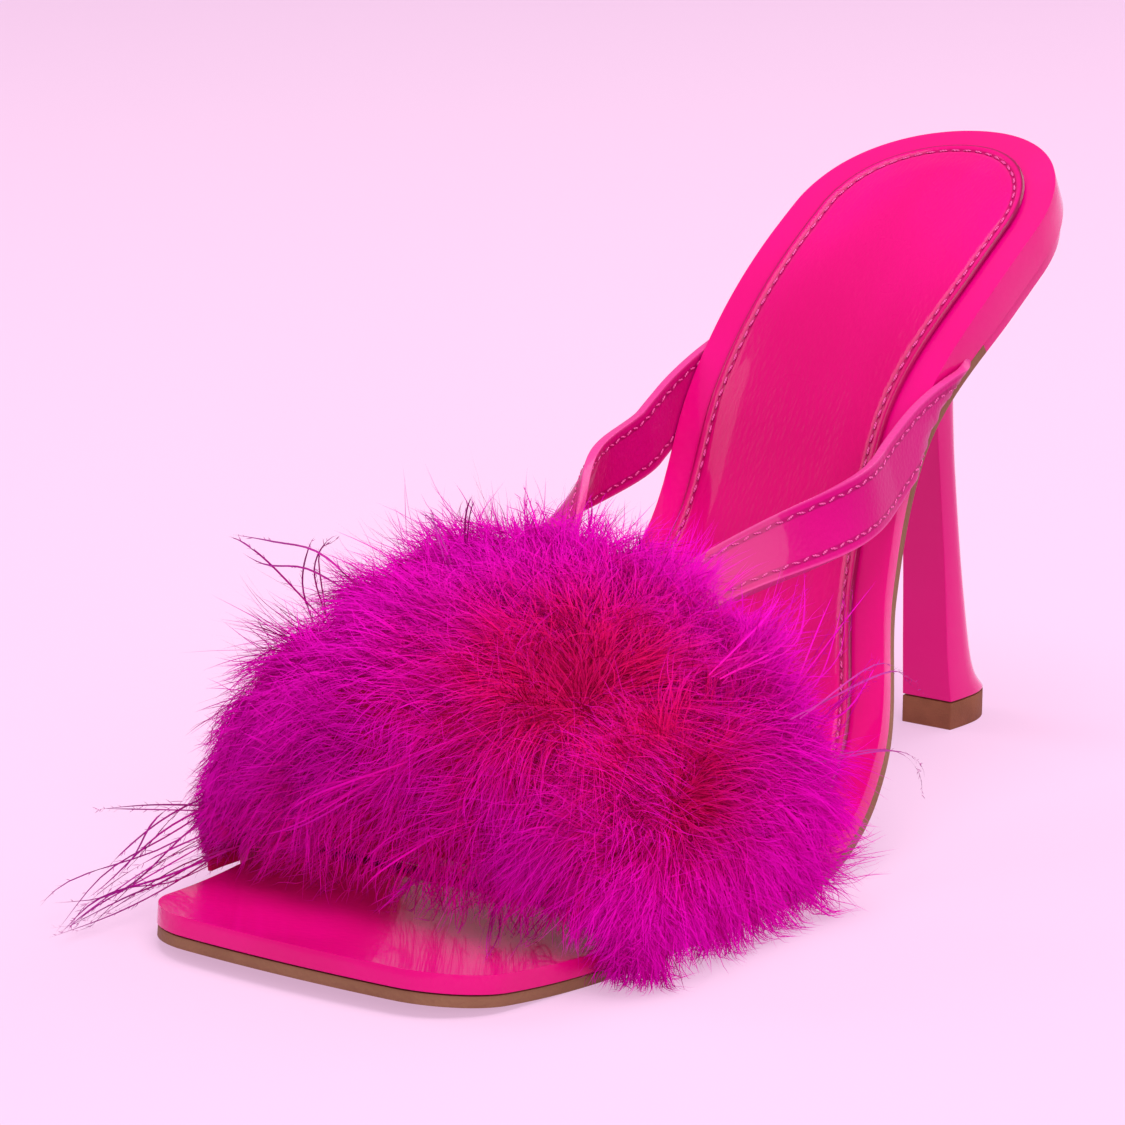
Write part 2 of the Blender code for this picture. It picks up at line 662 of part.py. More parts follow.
def trim_sheet():
    """Inner surface of the feather pouf, just off the band, and its thickness shares."""
    turns = [math.pi * k / (2 * ARCH_STEPS) for k in range(2 * ARCH_STEPS, -1, -1)]
    stations = trim_stations()
    points, shares = [], []
    for k, (down, s, back) in enumerate(stations):
        out = STRAP_THICKNESS / 2 + GAP + TRIM_LIFT * back
        forward = TRIM_OVERHANG * math.sin(down * math.pi / 2)
        along = math.sqrt(max(1 - abs(2 * k / (len(stations) - 1) - 1) ** 2.4, 0))
        ends = [arch(turns[0], s, out), arch(turns[-1], s, out)]
        lower = [TRIM_FLOOR + (ends[0][2] - TRIM_FLOOR) * t for t in (0.0, 0.5)]
        row = [(ends[0][0], s - forward, h) for h in lower]
        for turn in turns:
            x, s_there, h = arch(turn, s, out)
            fall = max(h - TRIM_HEM, 0.0) * (1 - math.cos(down * math.pi / 2))
            row.append((x, s_there - forward, h - fall))
        row += [(ends[1][0], s - forward, h) for h in reversed(lower)]
        sides = [0.25, 0.45] + [0.62 + 0.38 * math.sin(turn) for turn in turns] + [0.45, 0.25]
        points.append([place(*point) for point in row])
        shares.append([TRIM_RIM + (1 - TRIM_RIM) * along * side for side in sides])
    return points, shares


def on_grid(values, row, column):
    """Value between the four cells around a place on a grid."""
    i, j = min(int(row), len(values) - 2), min(int(column), len(values[0]) - 2)
    u, v = row - i, column - j
    return (values[i][j] * (1 - u) * (1 - v) + values[i + 1][j] * u * (1 - v)
            + values[i][j + 1] * (1 - u) * v + values[i + 1][j + 1] * u * v)


def lock_paths(points, shares):
    """Curved centre lines of the feather locks, clear of each other, the floor and the straps."""
    chance = random.Random(LOCK_SEED)
    straps = []
    for side in (LATERAL, MEDIAL):
        straps += [row[STRAP_COLUMNS // 2] for row in strap_points(side)[FOLD_ROWS:]]
    rows, columns = len(points) - 1, len(points[0]) - 1
    paths = []
    for _ in range(LOCK_TRIES):
        u, v = chance.uniform(0.05, 0.95), chance.uniform(0.08, 0.85)
        row, column = v * rows, u * columns
        point = on_grid(points, row, column)
        across = on_grid(points, row, column + 0.2) - on_grid(points, row, column - 0.2)
        back = on_grid(points, row + 0.2, column) - on_grid(points, row - 0.2, column)
        normal = across.cross(back).normalized()
        depth = TRIM_THICKNESS * on_grid(shares, row, column)
        spread = back.normalized() * (2 * v - 1) + across.normalized() * (2 * u - 1) * 0.3
        swirl = Vector((chance.uniform(-1, 1), chance.uniform(-1, 1), 0)) * 0.3
        way = (normal + spread * 0.8 + swirl).normalized()
        length = depth * 0.65 + LOCK_LENGTH * chance.uniform(0.6, 1.0) * (0.55 + 0.45 * normal.z)
        root = point + normal * depth * 0.35
        path = [root + way * length * t + Vector((0, 0, -0.22 * length * t * t))
                for t in LOCK_STATIONS]
        off_floor = min(p.z for p in path) > LOCK_FLOOR
        off_straps = min((p - q).length for p in path for q in straps) > STRAP_WIDTH
        off_others = all((p - q).length > LOCK_SPACING
                         for other in paths for p in path for q in other)
        if off_floor and off_straps and off_others:
            paths.append(path)
    return paths


def build_feather_trim(group, finish, helpers):
    """Pouf that hugs the band and droops over both sides, with feather locks fused on."""
    points, shares = trim_sheet()
    piece = sheet("feather_trim", points, group, finish, shares)
    solidify(piece, TRIM_THICKNESS, offset=1.0, weighed=True)
    curve = bpy.data.curves.new("locks", "CURVE")
    curve.dimensions = "3D"
    curve.bevel_depth = LOCK_RADIUS
    curve.bevel_resolution = 1
    curve.use_fill_caps = True
    for path in lock_paths(points, shares):
        spline = curve.splines.new("POLY")
        spline.points.add(len(path) - 1)
        for spot, point, width in zip(spline.points, path, LOCK_WIDTHS):
            spot.co = (*point, 1.0)
            spot.radius = width
    guide = bpy.data.objects.new("locks_guide", curve)
    helpers.objects.link(guide)
    bpy.context.view_layer.update()
    depsgraph = bpy.context.evaluated_depsgraph_get()
    mesh = bpy.data.meshes.new_from_object(guide.evaluated_get(depsgraph))
    bpy.data.objects.remove(guide)
    bm = bmesh.new()
    bm.from_mesh(mesh)
    bmesh.ops.remove_doubles(bm, verts=bm.verts, dist=0.00001)
    bm.to_mesh(mesh)
    bm.free()
    locks = add_object("locks", mesh, helpers)
    hide(locks)
    boolean(piece, locks, "UNION")
    smooth_shade(piece)


def main():
    for leftover in list(bpy.data.objects):
        bpy.data.objects.remove(leftover, do_unlink=True)
    shoe = collection("marabou_slipper")
    helpers = collection("cutters")
    pink = material("pink_patent", PINK, 0.22, coat=0.6)
    sock = material("pink_lining", PINK, 0.35)
    strap = material("pink_strap", PINK, 0.30, coat=0.3)
    tan = material("tan_sole", TAN, 0.55)
    plume = material("plume", PLUME, 0.90)
    build_outsole(shoe, tan)
    build_footbed(shoe, pink, build_rooms(helpers))
    build_insole(shoe, sock)
    build_heel(shoe, pink)
    build_top_piece(shoe, tan)
    build_upper(shoe, strap, helpers)
    build_feather_trim(shoe, plume, helpers)


main()
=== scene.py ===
import math

import bmesh
import bpy
import numpy as np
from mathutils import Matrix, Vector


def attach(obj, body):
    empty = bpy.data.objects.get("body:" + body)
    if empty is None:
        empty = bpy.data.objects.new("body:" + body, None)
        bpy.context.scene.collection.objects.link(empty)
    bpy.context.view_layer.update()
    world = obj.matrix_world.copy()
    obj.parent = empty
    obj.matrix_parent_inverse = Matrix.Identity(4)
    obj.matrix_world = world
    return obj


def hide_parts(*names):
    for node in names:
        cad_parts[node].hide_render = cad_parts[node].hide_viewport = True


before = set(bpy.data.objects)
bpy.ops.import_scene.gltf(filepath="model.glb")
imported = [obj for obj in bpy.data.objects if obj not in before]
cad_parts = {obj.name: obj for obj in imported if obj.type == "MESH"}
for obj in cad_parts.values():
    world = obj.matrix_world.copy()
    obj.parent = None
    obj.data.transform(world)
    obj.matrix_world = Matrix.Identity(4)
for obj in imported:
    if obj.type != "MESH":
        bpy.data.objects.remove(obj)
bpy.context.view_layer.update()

# The last and the layers of the sole, in metres, as the solids have them
SOLE_LENGTH = 0.248
HEEL_HEIGHT = 0.100
TOE_WIDTH = 0.063
BALL_WIDTH = 0.077
WAIST_WIDTH = 0.047
SEAT_WIDTH = 0.050
TOE_CORNER = 0.0112
TOE_BOW = 0.0025
TOE_PITCH = 9.0
SEAT_ROUND = 0.027
GAP = 0.0003
OUTSOLE_THICKNESS = 0.0018
FOOTBED_THICKNESS = 0.0030
SEAT_THICKNESS = 0.0068
SEAT_DISH = 0.0014
SOCK_THICKNESS = 0.0008
SOCK_INSET = 0.0055
SOCK_START = 0.190
BREAST = 0.805
HEEL_INSET = 0.0012
CUP_RIM = 0.0030
HEEL_SIDESHIFT = 0.0005
TIP_BREAST = 0.131
TIP_WIDTH = 0.0112
TIP_DEPTH = 0.0160
TOP_PIECE = 0.0050
BREAST_FLAT = 0.92
BELLY = 0.42
STRAP_THICKNESS = 0.0015
STRAP_WIDTH = 0.0108
STRAP_CROSSING = 0.735       # share of the length where a strap passes the footbed's edge
STRAP_SLANT = 62.0           # of a strap to the upright there, in degrees
STRAP_SPREAD = 0.0125        # of each strap from the middle where it meets the band
STRAP_BOW = 0.0040           # how far a strap bows sideways between its ends
STRAP_TUCK = 0.0085
STRAP_BEND = 0.0015
STRAP_LAP = 0.55
STRAP_SEAT = 0.0016
STRAP_LIFT = 0.0030
STRAP_FREE = 0.0030
STRAP_HANDLE = 0.36
BAND_FRONT = 0.150
BAND_REAR = 0.312
BAND_FRONT_HEIGHT = 0.0330
BAND_REAR_HEIGHT = 0.0460
BAND_PEAK = -0.004
ARCH_FULLNESS = 2.3
TREAD_MIDDLE = 0.23
STITCH_INSET = 0.0018        # of the sock's stitches inside its edge
STITCH_PITCH = 0.0023
STITCH_LENGTH = 0.0017
STITCH_WIDTH = 0.00045
STRAP_STITCH_INSET = 0.0016
STRAP_STITCH_PITCH = 0.0021
STRAP_STITCH_LENGTH = 0.0016
STRAP_STITCH_WIDTH = 0.00042
PROFILE_STEPS = 496

# Side profile: share of the length, pitch there as a share of the shank's pitch
PITCH_ROWS = (
    (0.13, 0.00), (0.33, 0.00), (0.45, 0.91), (0.58, 1.00), (0.70, 0.98), (0.83, 0.69), (1.00, 0.54),
)
# Outline: share of the length, the width it follows, its shares left and right of the middle
OUTLINE_ROWS = (
    (0.00, TOE_WIDTH, 0.510, 0.490),
    (0.10, TOE_WIDTH, 0.575, 0.540),
    (0.16, BALL_WIDTH, 0.496, 0.464),
    (0.26, BALL_WIDTH, 0.500, 0.487),
    (0.37, BALL_WIDTH, 0.522, 0.474),
    (0.48, BALL_WIDTH, 0.496, 0.400),
    (0.60, WAIST_WIDTH, 0.574, 0.494),
    (0.72, WAIST_WIDTH, 0.442, 0.558),
    (0.84, SEAT_WIDTH, 0.462, 0.530),
    (0.92, SEAT_WIDTH, 0.468, 0.520),
)
# Heel sections: height as a share of the heel's, width, depth, how far the breast lies forward
HEEL_ROWS = (
    (0.64, 0.80, 0.58, 0.42),
    (0.54, 0.78, 0.51, 0.32),
    (0.45, 0.79, 0.50, 0.24),
    (0.30, 0.86, 0.54, 0.14),
    (0.15, 0.92, 0.69, 0.07),
    (0.09, 0.96, 0.80, 0.03),
)
# Flare under the cup: shares of the way down and of the way inwards from the cup to the neck
FLARE_ROWS = ((0.15, 0.34), (0.34, 0.64), (0.58, 0.85), (0.80, 0.96))

LATERAL = 1
MEDIAL = -1


def sole_profile():
    """Length along the sole's underside, y, z and pitch at each step."""
    share = np.linspace(0.0, 1.0, PROFILE_STEPS + 1)
    step = SOLE_LENGTH / PROFILE_STEPS
    low, high = 15.0, 80.0
    for _ in range(40):
        shank = (low + high) / 2
        shares = [0.0] + [row[0] for row in PITCH_ROWS]
        pitches = [-TOE_PITCH] + [row[1] * shank for row in PITCH_ROWS]
        pitch = np.radians(np.interp(share, shares, pitches))
        middle = (pitch[1:] + pitch[:-1]) / 2
        along = np.concatenate(([0.0], np.cumsum(np.cos(middle)))) * step
        up = np.concatenate(([0.0], np.cumsum(np.sin(middle)))) * step
        up -= up.min()
        low, high = (shank, high) if up[-1] < HEEL_HEIGHT else (low, shank)
    return share * SOLE_LENGTH, along - np.interp(TREAD_MIDDLE, share, along), up, pitch


def smooth(rows, column, at):
    places = np.array([row[0] for row in rows])
    values = np.array([row[column] for row in rows])
    slopes = np.gradient(values, places)
    at = np.clip(at, places[0], places[-1])
    i = np.clip(np.searchsorted(places, at) - 1, 0, len(places) - 2)
    span = places[i + 1] - places[i]
    t = (at - places[i]) / span
    return ((2 * t**3 - 3 * t**2 + 1) * values[i] + (t**3 - 2 * t**2 + t) * span * slopes[i]
            + (3 * t**2 - 2 * t**3) * values[i + 1] + (t**3 - t**2) * span * slopes[i + 1])


def ease(t):
    t = np.clip(t, 0.0, 1.0)
    return t * t * (3 - 2 * t)


PROFILE = sole_profile()
HALF_WIDTHS = [(row[0], row[1] * row[2], row[1] * row[3]) for row in OUTLINE_ROWS]


def place(x, s, h):
    """Bend points of the flat pattern into the shoe."""
    pitch = np.interp(s, PROFILE[0], PROFILE[3])
    y = np.interp(s, PROFILE[0], PROFILE[1]) - h * np.sin(pitch)
    z = np.interp(s, PROFILE[0], PROFILE[2]) + h * np.cos(pitch)
    return np.stack(np.broadcast_arrays(x, y, z), axis=-1)


def half_width(s, side):
    share = np.asarray(s) / SOLE_LENGTH
    lateral = smooth(HALF_WIDTHS, 1, share)
    medial = smooth(HALF_WIDTHS, 2, share)
    return np.where(np.asarray(side) > 0, lateral, medial)


def footbed_thickness(x, s):
    share = s / SOLE_LENGTH
    seat = ease((share - 0.62) / 0.24)
    hollow = ease((share - 0.70) / 0.15) * (1 - np.minimum(np.abs(x) / half_width(s, x), 1.0) ** 2)
    return FOOTBED_THICKNESS + (SEAT_THICKNESS - FOOTBED_THICKNESS) * seat - SEAT_DISH * hollow


def rim_side(side, inset):
    """Outline from the toe's middle round one side to the back, as (x, s) points."""
    front_edge = half_width(0.0, side) - TOE_CORNER
    points = [(front_edge * t, 0.0) for t in np.linspace(0, 1, 20, endpoint=False)]
    for angle in np.linspace(0, math.pi / 2, 33):
        s = TOE_CORNER * (1 - math.cos(angle))
        points.append((half_width(s, side) - TOE_CORNER * (1 - math.sin(angle)), s))
    points += [(half_width(s, side), s) for s in np.linspace(TOE_CORNER, SOLE_LENGTH - SEAT_ROUND, 182)[1:-1]]
    for angle in np.linspace(math.pi / 2, 0, 65):
        s = SOLE_LENGTH - SEAT_ROUND * (1 - math.cos(angle))
        points.append((half_width(s, side) * math.sin(angle), s))
    rim = np.array(points, dtype=float)
    edge = half_width(rim[:, 1], side)
    rim[:, 1] += TOE_BOW * (rim[:, 0] / edge) ** 2 * np.clip(1 - rim[:, 1] / (3 * TOE_CORNER), 0, 1)
    tangent = np.gradient(rim, axis=0)
    tangent[0] = (1.0, 0.0)
    tangent[-1] = (-1.0, 0.0)
    tangent /= np.linalg.norm(tangent, axis=1, keepdims=True)
    rim += inset * np.column_stack((-tangent[:, 1], tangent[:, 0]))
    rim[:, 0] *= side
    return rim


def resample(points, shares):
    steps = np.linalg.norm(np.diff(points, axis=0), axis=1)
    length = np.concatenate(([0.0], np.cumsum(steps)))
    return np.column_stack([np.interp(np.asarray(shares) * length[-1], length, points[:, k])
                            for k in range(points.shape[1])])


def crowded(count, crowding):
    t = np.linspace(0, 1, count + 1)
    return t - crowding * np.sin(2 * math.pi * t) / (2 * math.pi)


def split(rim, share, index):
    if share is None:
        return rim[:index + 1], rim[index:]
    s = share * SOLE_LENGTH
    index = int(np.searchsorted(rim[:, 1], s))
    point = (np.interp(s, rim[:, 1], rim[:, 0]), s)
    return np.array([(0.0, s), point]), np.vstack((point, rim[index:]))


def pattern(inset, rows, columns, start=None, end=None):
    """Grid of (x, s) points that fills the outline, or its stretch between two shares."""
    fronts, sides, backs = [], [], []
    for side in (MEDIAL, LATERAL):
        front, rest = split(rim_side(side, inset), start, 36)
        back, rest = split(rest[::-1] * (1, -1), None if end is None else -end, 16)
        fronts.append(front)
        sides.append(rest[::-1] * (1, -1))
        backs.append(back * (1, -1))
    across, down = crowded(columns, 0.6), crowded(rows, 0.35)
    front = resample(np.vstack((fronts[0][::-1], fronts[1][1:])), across)
    back = resample(np.vstack((backs[0][::-1], backs[1][1:])), across)
    medial, lateral = resample(sides[0], down), resample(sides[1], down)
    u, v = across[None, :, None], down[:, None, None]
    corners = (1 - v) * ((1 - u) * front[0] + u * front[-1]) + v * ((1 - u) * back[0] + u * back[-1])
    return ((1 - u) * medial[:, None] + u * lateral[:, None]
            + (1 - v) * front[None] + v * back[None] - corners)


def rim_distance(cells):
    """How far each point of a pattern lies inside the pattern's own edge."""
    edge = np.vstack((cells[0], cells[1:, -1], cells[-1, ::-1], cells[::-1, 0]))
    flat = cells.reshape(-1, 2)
    distance = np.full(len(flat), 1.0)
    starts, ends = edge[:-1], edge[1:]
    for a, b in zip(starts, ends):
        way = b - a
        length = way @ way
        if length < 1e-14:
            continue
        t = np.clip((flat - a) @ way / length, 0, 1)
        distance = np.minimum(distance, np.linalg.norm(flat - a - t[:, None] * way, axis=1))
    return distance.reshape(cells.shape[:2])


# Modelling

def deselect():
    bpy.ops.object.select_all(action="DESELECT")


def pick(piece):
    deselect()
    piece.select_set(True)
    bpy.context.view_layer.objects.active = piece


def grid_piece(name, points):
    """A grid laid on rows of points, toe to heel and inner side to outer side."""
    rows, columns = points.shape[0] - 1, points.shape[1] - 1
    deselect()
    bpy.ops.mesh.primitive_grid_add(x_subdivisions=columns, y_subdivisions=rows, size=2.0)
    piece = bpy.context.object
    piece.name = name
    piece.data.name = name
    for layer in list(piece.data.uv_layers):
        piece.data.uv_layers.remove(layer)
    piece.data.vertices.foreach_set("co", points.reshape(-1))
    piece.data.update()
    return piece


def plain_mesh(name, points, faces):
    mesh = bpy.data.meshes.new(name)
    mesh.from_pydata([tuple(p) for p in points], [], faces)
    mesh.update()
    piece = bpy.data.objects.new(name, mesh)
    bpy.context.scene.collection.objects.link(piece)
    return piece


def point_values(piece, name, values):
    """Keep one number for each vertex under a name that a material can read."""
    layer = piece.data.attributes.new(name, "FLOAT", "POINT")
    layer.data.foreach_set("value", np.asarray(values, dtype=np.float32).reshape(-1))


def modify(piece, kind, **settings):
    pick(piece)
    modifier = piece.modifiers.new(kind.lower(), kind)
    for key, value in settings.items():
        setattr(modifier, key, value)
    bpy.ops.object.modifier_apply(modifier=modifier.name)


def shares_group(piece, shares):
    group = piece.vertex_groups.new(name="thickness")
    for k, share in enumerate(np.asarray(shares).reshape(-1)):
        group.add([k], float(share), "REPLACE")


def smooth_piece(piece, angle=40.0):
    pick(piece)
    bpy.ops.object.shade_smooth_by_angle(angle=math.radians(angle))


def finish(piece, stuff, *nodes):
    """Give a piece its material, let it ride on the shoe, and let it stand for its solids."""
    piece.data.materials.clear()
    piece.data.materials.append(stuff)
    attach(piece, "root")
    if nodes:
        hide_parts(*nodes)
    return piece


# Materials

def shader_group(name, inputs, outputs):
    group = bpy.data.node_groups.new(name, "ShaderNodeTree")
    for label, kind, value in inputs:
        socket = group.interface.new_socket(name=label, in_out="INPUT", socket_type=kind)
        socket.default_value = value
    for label, kind in outputs:
        group.interface.new_socket(name=label, in_out="OUTPUT", socket_type=kind)
    start = group.nodes.new("NodeGroupInput")
    end = group.nodes.new("NodeGroupOutput")
    return group, start, end


def node(tree, kind, **settings):
    made = tree.nodes.new(kind)
    for key, value in settings.items():
        setattr(made, key, value)
    return made


def put(tree, value, socket):
    if isinstance(value, bpy.types.NodeSocket):
        tree.links.new(value, socket)
    else:
        socket.default_value = value


def math_node(tree, operation, a, b=None, c=None, clamp=False):
    made = node(tree, "ShaderNodeMath", operation=operation, use_clamp=clamp)
    for value, socket in zip((a, b, c), made.inputs):
        if value is not None:
            put(tree, value, socket)
    return made.outputs[0]


def noise_node(tree, vector, scale, detail=3.0, rough=0.5):
    made = node(tree, "ShaderNodeTexNoise")
    tree.links.new(vector, made.inputs["Vector"])
    put(tree, scale, made.inputs["Scale"])
    made.inputs["Detail"].default_value = detail
    made.inputs["Roughness"].default_value = rough
    return made.outputs["Fac"]


def step_node(tree, value, low, high):
    made = node(tree, "ShaderNodeMapRange", interpolation_type="SMOOTHSTEP")
    put(tree, value, made.inputs["Value"])
    made.inputs["From Min"].default_value = low
    made.inputs["From Max"].default_value = high
    return made.outputs["Result"]


def line_mask(tree, value, middle, width):
    """1 along a line where a value passes its middle, fading out to both sides."""
    apart = math_node(tree, "ABSOLUTE", math_node(tree, "SUBTRACT", value, middle))
    return math_node(tree, "SUBTRACT", 1.0, step_node(tree, apart, width * 0.4, width))


def mix_node(tree, factor, a, b):
    made = node(tree, "ShaderNodeMix", data_type="RGBA")
    colours = [s for s in made.inputs if s.type == "RGBA"]
    for value, socket in zip((a, b), colours):
        put(tree, (*value, 1.0) if isinstance(value, tuple) else value, socket)
    factors = [s for s in made.inputs if s.type == "VALUE"]
    put(tree, factor, factors[0])
    return [s for s in made.outputs if s.type == "RGBA"][0]


def make_drift_group():
    """Slow drift of a dyed colour over a surface, with its deeper and lighter shades."""
    group, start, end = shader_group("dye_drift", [
        ("Colour", "NodeSocketColor", (0.8, 0.0, 0.3, 1.0)),
        ("Deep", "NodeSocketColor", (0.6, 0.0, 0.2, 1.0)),
        ("Vector", "NodeSocketVector", (0.0, 0.0, 0.0)),
        ("Scale", "NodeSocketFloat", 30.0),
        ("Amount", "NodeSocketFloat", 0.5)], [("Colour", "NodeSocketColor")])
    noise = noise_node(group, start.outputs["Vector"], start.outputs["Scale"], 2.0)
    masked = math_node(group, "MULTIPLY", step_node(group, noise, 0.35, 0.7), start.outputs["Amount"])
    colour = mix_node(group, masked, start.outputs["Colour"], start.outputs["Deep"])
    group.links.new(colour, end.inputs["Colour"])
    return group


def make_creases_group():
    """Height of patent leather: long soft waves, fine pebbling and small dents."""
    group, start, end = shader_group("patent_creases", [
        ("Vector", "NodeSocketVector", (0.0, 0.0, 0.0)),
        ("Waves", "NodeSocketFloat", 40.0),
        ("Wave Depth", "NodeSocketFloat", 0.6),
        ("Pebbles", "NodeSocketFloat", 900.0),
        ("Pebble Depth", "NodeSocketFloat", 0.1)], [("Height", "NodeSocketFloat")])
    wave = noise_node(group, start.outputs["Vector"], start.outputs["Waves"], 2.0)
    pebble = node(group, "ShaderNodeTexVoronoi")
    group.links.new(start.outputs["Vector"], pebble.inputs["Vector"])
    group.links.new(start.outputs["Pebbles"], pebble.inputs["Scale"])
    wave = math_node(group, "MULTIPLY", wave, start.outputs["Wave Depth"])
    fine = math_node(group, "MULTIPLY", pebble.outputs["Distance"], start.outputs["Pebble Depth"])
    group.links.new(math_node(group, "ADD", wave, fine), end.inputs["Height"])
    return group


def blank(name, roughness, coat=0.0, coat_roughness=0.05, **levels):
    stuff = bpy.data.materials.new(name)
    stuff.use_nodes = True
    tree = stuff.node_tree
    shader = tree.nodes["Principled BSDF"]
    shader.inputs["Metallic"].default_value = 0.0
    shader.inputs["Roughness"].default_value = roughness
    shader.inputs["Coat Weight"].default_value = coat
    shader.inputs["Coat Roughness"].default_value = coat_roughness
    for label, value in levels.items():
        shader.inputs[label].default_value = value
    where = node(tree, "ShaderNodeTexCoord").outputs["Object"]
    return stuff, tree, shader, where


def group_node(tree, group, **values):
    made = node(tree, "ShaderNodeGroup", node_tree=group)
    for label, value in values.items():
        put(tree, value, made.inputs[label.replace("_", " ")])
    return made


def bump(tree, shader, height, distance, strength=1.0):
    made = node(tree, "ShaderNodeBump")
    made.inputs["Distance"].default_value = distance
    made.inputs["Strength"].default_value = strength
    tree.links.new(height, made.inputs["Height"])
    tree.links.new(made.outputs["Normal"], shader.inputs["Normal"])


def stretched(tree, where, scale):
    made = node(tree, "ShaderNodeMapping")
    tree.links.new(where, made.inputs["Vector"])
    made.inputs["Scale"].default_value = scale
    return made.outputs["Vector"]


def attribute(tree, name, output="Fac"):
    return node(tree, "ShaderNodeAttribute", attribute_name=name).outputs[output]


def leather(name, colour, deep, drift, creases, roughness, coat, waves=(40.0, 0.6), pebbles=(900.0, 0.1),
            depth=0.0006, stretch=(1.0, 1.0, 1.0), drift_scale=30.0, drift_amount=0.5, shine=0.06):
    stuff, tree, shader, where = blank(name, roughness, coat)
    shader.inputs["Specular IOR Level"].default_value = shine
    shader.inputs["Coat IOR"].default_value = 1.35
    vector = stretched(tree, where, stretch)
    dye = group_node(tree, drift, Colour=(*colour, 1.0), Deep=(*deep, 1.0), Vector=vector,
                     Scale=drift_scale, Amount=drift_amount)
    height = group_node(tree, creases, Vector=vector, Waves=waves[0], Wave_Depth=waves[1],
                        Pebbles=pebbles[0], Pebble_Depth=pebbles[1])
    smear = noise_node(tree, where, 60.0, 4.0)
    tree.links.new(math_node(tree, "MULTIPLY_ADD", smear, 0.10, roughness - 0.05), shader.inputs["Roughness"])
    tree.links.new(dye.outputs["Colour"], shader.inputs["Base Color"])
    bump(tree, shader, height.outputs["Height"], depth)
    return stuff, tree, shader, where, dye.outputs["Colour"]


DRIFT = make_drift_group()
CREASES = make_creases_group()


def make_wrap_patent():
    return leather("wrap_patent", (0.74, 0.0015, 0.195), (0.62, 0.001, 0.14), DRIFT, CREASES, 0.24, 0.6,
                   waves=(28.0, 0.7), pebbles=(700.0, 0.03), depth=0.0012)[0]


def make_sock_leather():
    stuff, tree, shader, where, colour = leather(
        "sock_leather", (0.75, 0.0015, 0.20), (0.58, 0.001, 0.13), DRIFT, CREASES, 0.28, 0.30,
        waves=(34.0, 0.7), pebbles=(1100.0, 0.05), depth=0.0012, stretch=(1.6, 0.5, 0.5))
    rim = attribute(tree, "rim")
    dark = math_node(tree, "SUBTRACT", 1.0, step_node(tree, rim, 0.00025, 0.0008))
    colour = mix_node(tree, math_node(tree, "MULTIPLY", dark, 0.85), colour, (0.16, 0.001, 0.035))
    # Painted shade over the arch: the sock turns darker round a height of 66 mm, where the arch lies in
    # shade.
    height = node(tree, "ShaderNodeSeparateXYZ")
    tree.links.new(where, height.inputs["Vector"])
    arch_painted_shade = math_node(tree, "SUBTRACT", 1.0, step_node(tree, math_node(
        tree, "ABSOLUTE", math_node(tree, "SUBTRACT", height.outputs["Z"], 0.066)), 0.006, 0.034))
    colour = mix_node(tree, math_node(tree, "MULTIPLY", arch_painted_shade, 0.60), colour, (0.50, 0.001, 0.10))
    # Painted shade in the groove under the stitches: a dark line along the stitch row.
    stitch_groove_shade = line_mask(tree, rim, STITCH_INSET, 0.0006)
    colour = mix_node(tree, math_node(tree, "MULTIPLY", stitch_groove_shade, 0.65), colour, (0.30, 0.001, 0.07))
    tree.links.new(colour, shader.inputs["Base Color"])
    return stuff


def make_strap_leather():
    stuff, tree, shader, _, colour = leather(
        "strap_leather", (0.58, 0.0015, 0.18), (0.48, 0.001, 0.13), DRIFT, CREASES, 0.34, 0.25,
        waves=(60.0, 0.4), pebbles=(1300.0, 0.10), depth=0.0005)
    rim = attribute(tree, "rim")
    # Pale edges along the strap: partly the leather's edge paint, partly a painted highlight where light
    # catches them.
    edge_paint_and_highlight = math_node(tree, "SUBTRACT", 1.0, step_node(tree, rim, 0.0001, 0.0006))
    colour = mix_node(tree, math_node(tree, "MULTIPLY", edge_paint_and_highlight, 0.35), colour, (0.86, 0.12, 0.42))
    # Painted shade in the stitch grooves: a dark line along each stitch row.
    stitch_groove_shade = line_mask(tree, rim, STRAP_STITCH_INSET, 0.0006)
    colour = mix_node(tree, math_node(tree, "MULTIPLY", stitch_groove_shade, 0.60), colour, (0.28, 0.001, 0.08))
    tree.links.new(colour, shader.inputs["Base Color"])
    return stuff


def make_heel_patent():
    return leather("heel_patent", (0.74, 0.002, 0.205), (0.66, 0.0015, 0.17), DRIFT, CREASES, 0.18, 0.7,
                   waves=(22.0, 0.4), pebbles=(700.0, 0.02), depth=0.0007)[0]


def make_sole_leather():
    return leather("sole_leather", (0.27, 0.13, 0.075), (0.20, 0.085, 0.05), DRIFT, CREASES, 0.5, 0.0,
                   waves=(120.0, 0.4), pebbles=(1500.0, 0.3), depth=0.0003, drift_scale=90.0)[0]


def make_wear_rubber():
    return leather("wear_rubber", (0.27, 0.10, 0.055), (0.17, 0.06, 0.035), DRIFT, CREASES, 0.55, 0.0,
                   waves=(200.0, 0.4), pebbles=(2500.0, 0.3), depth=0.0003, drift_scale=200.0)[0]


def make_thread():
    stuff, tree, shader, where = blank("pink_thread", 0.5)
    twist = node(tree, "ShaderNodeTexWave", bands_direction="DIAGONAL")
    tree.links.new(where, twist.inputs["Vector"])
    twist.inputs["Scale"].default_value = 900.0
    colour = mix_node(tree, twist.outputs["Fac"], (0.66, 0.01, 0.22), (0.86, 0.10, 0.42))
    tree.links.new(colour, shader.inputs["Base Color"])
    bump(tree, shader, twist.outputs["Fac"], 0.0001)
    return stuff


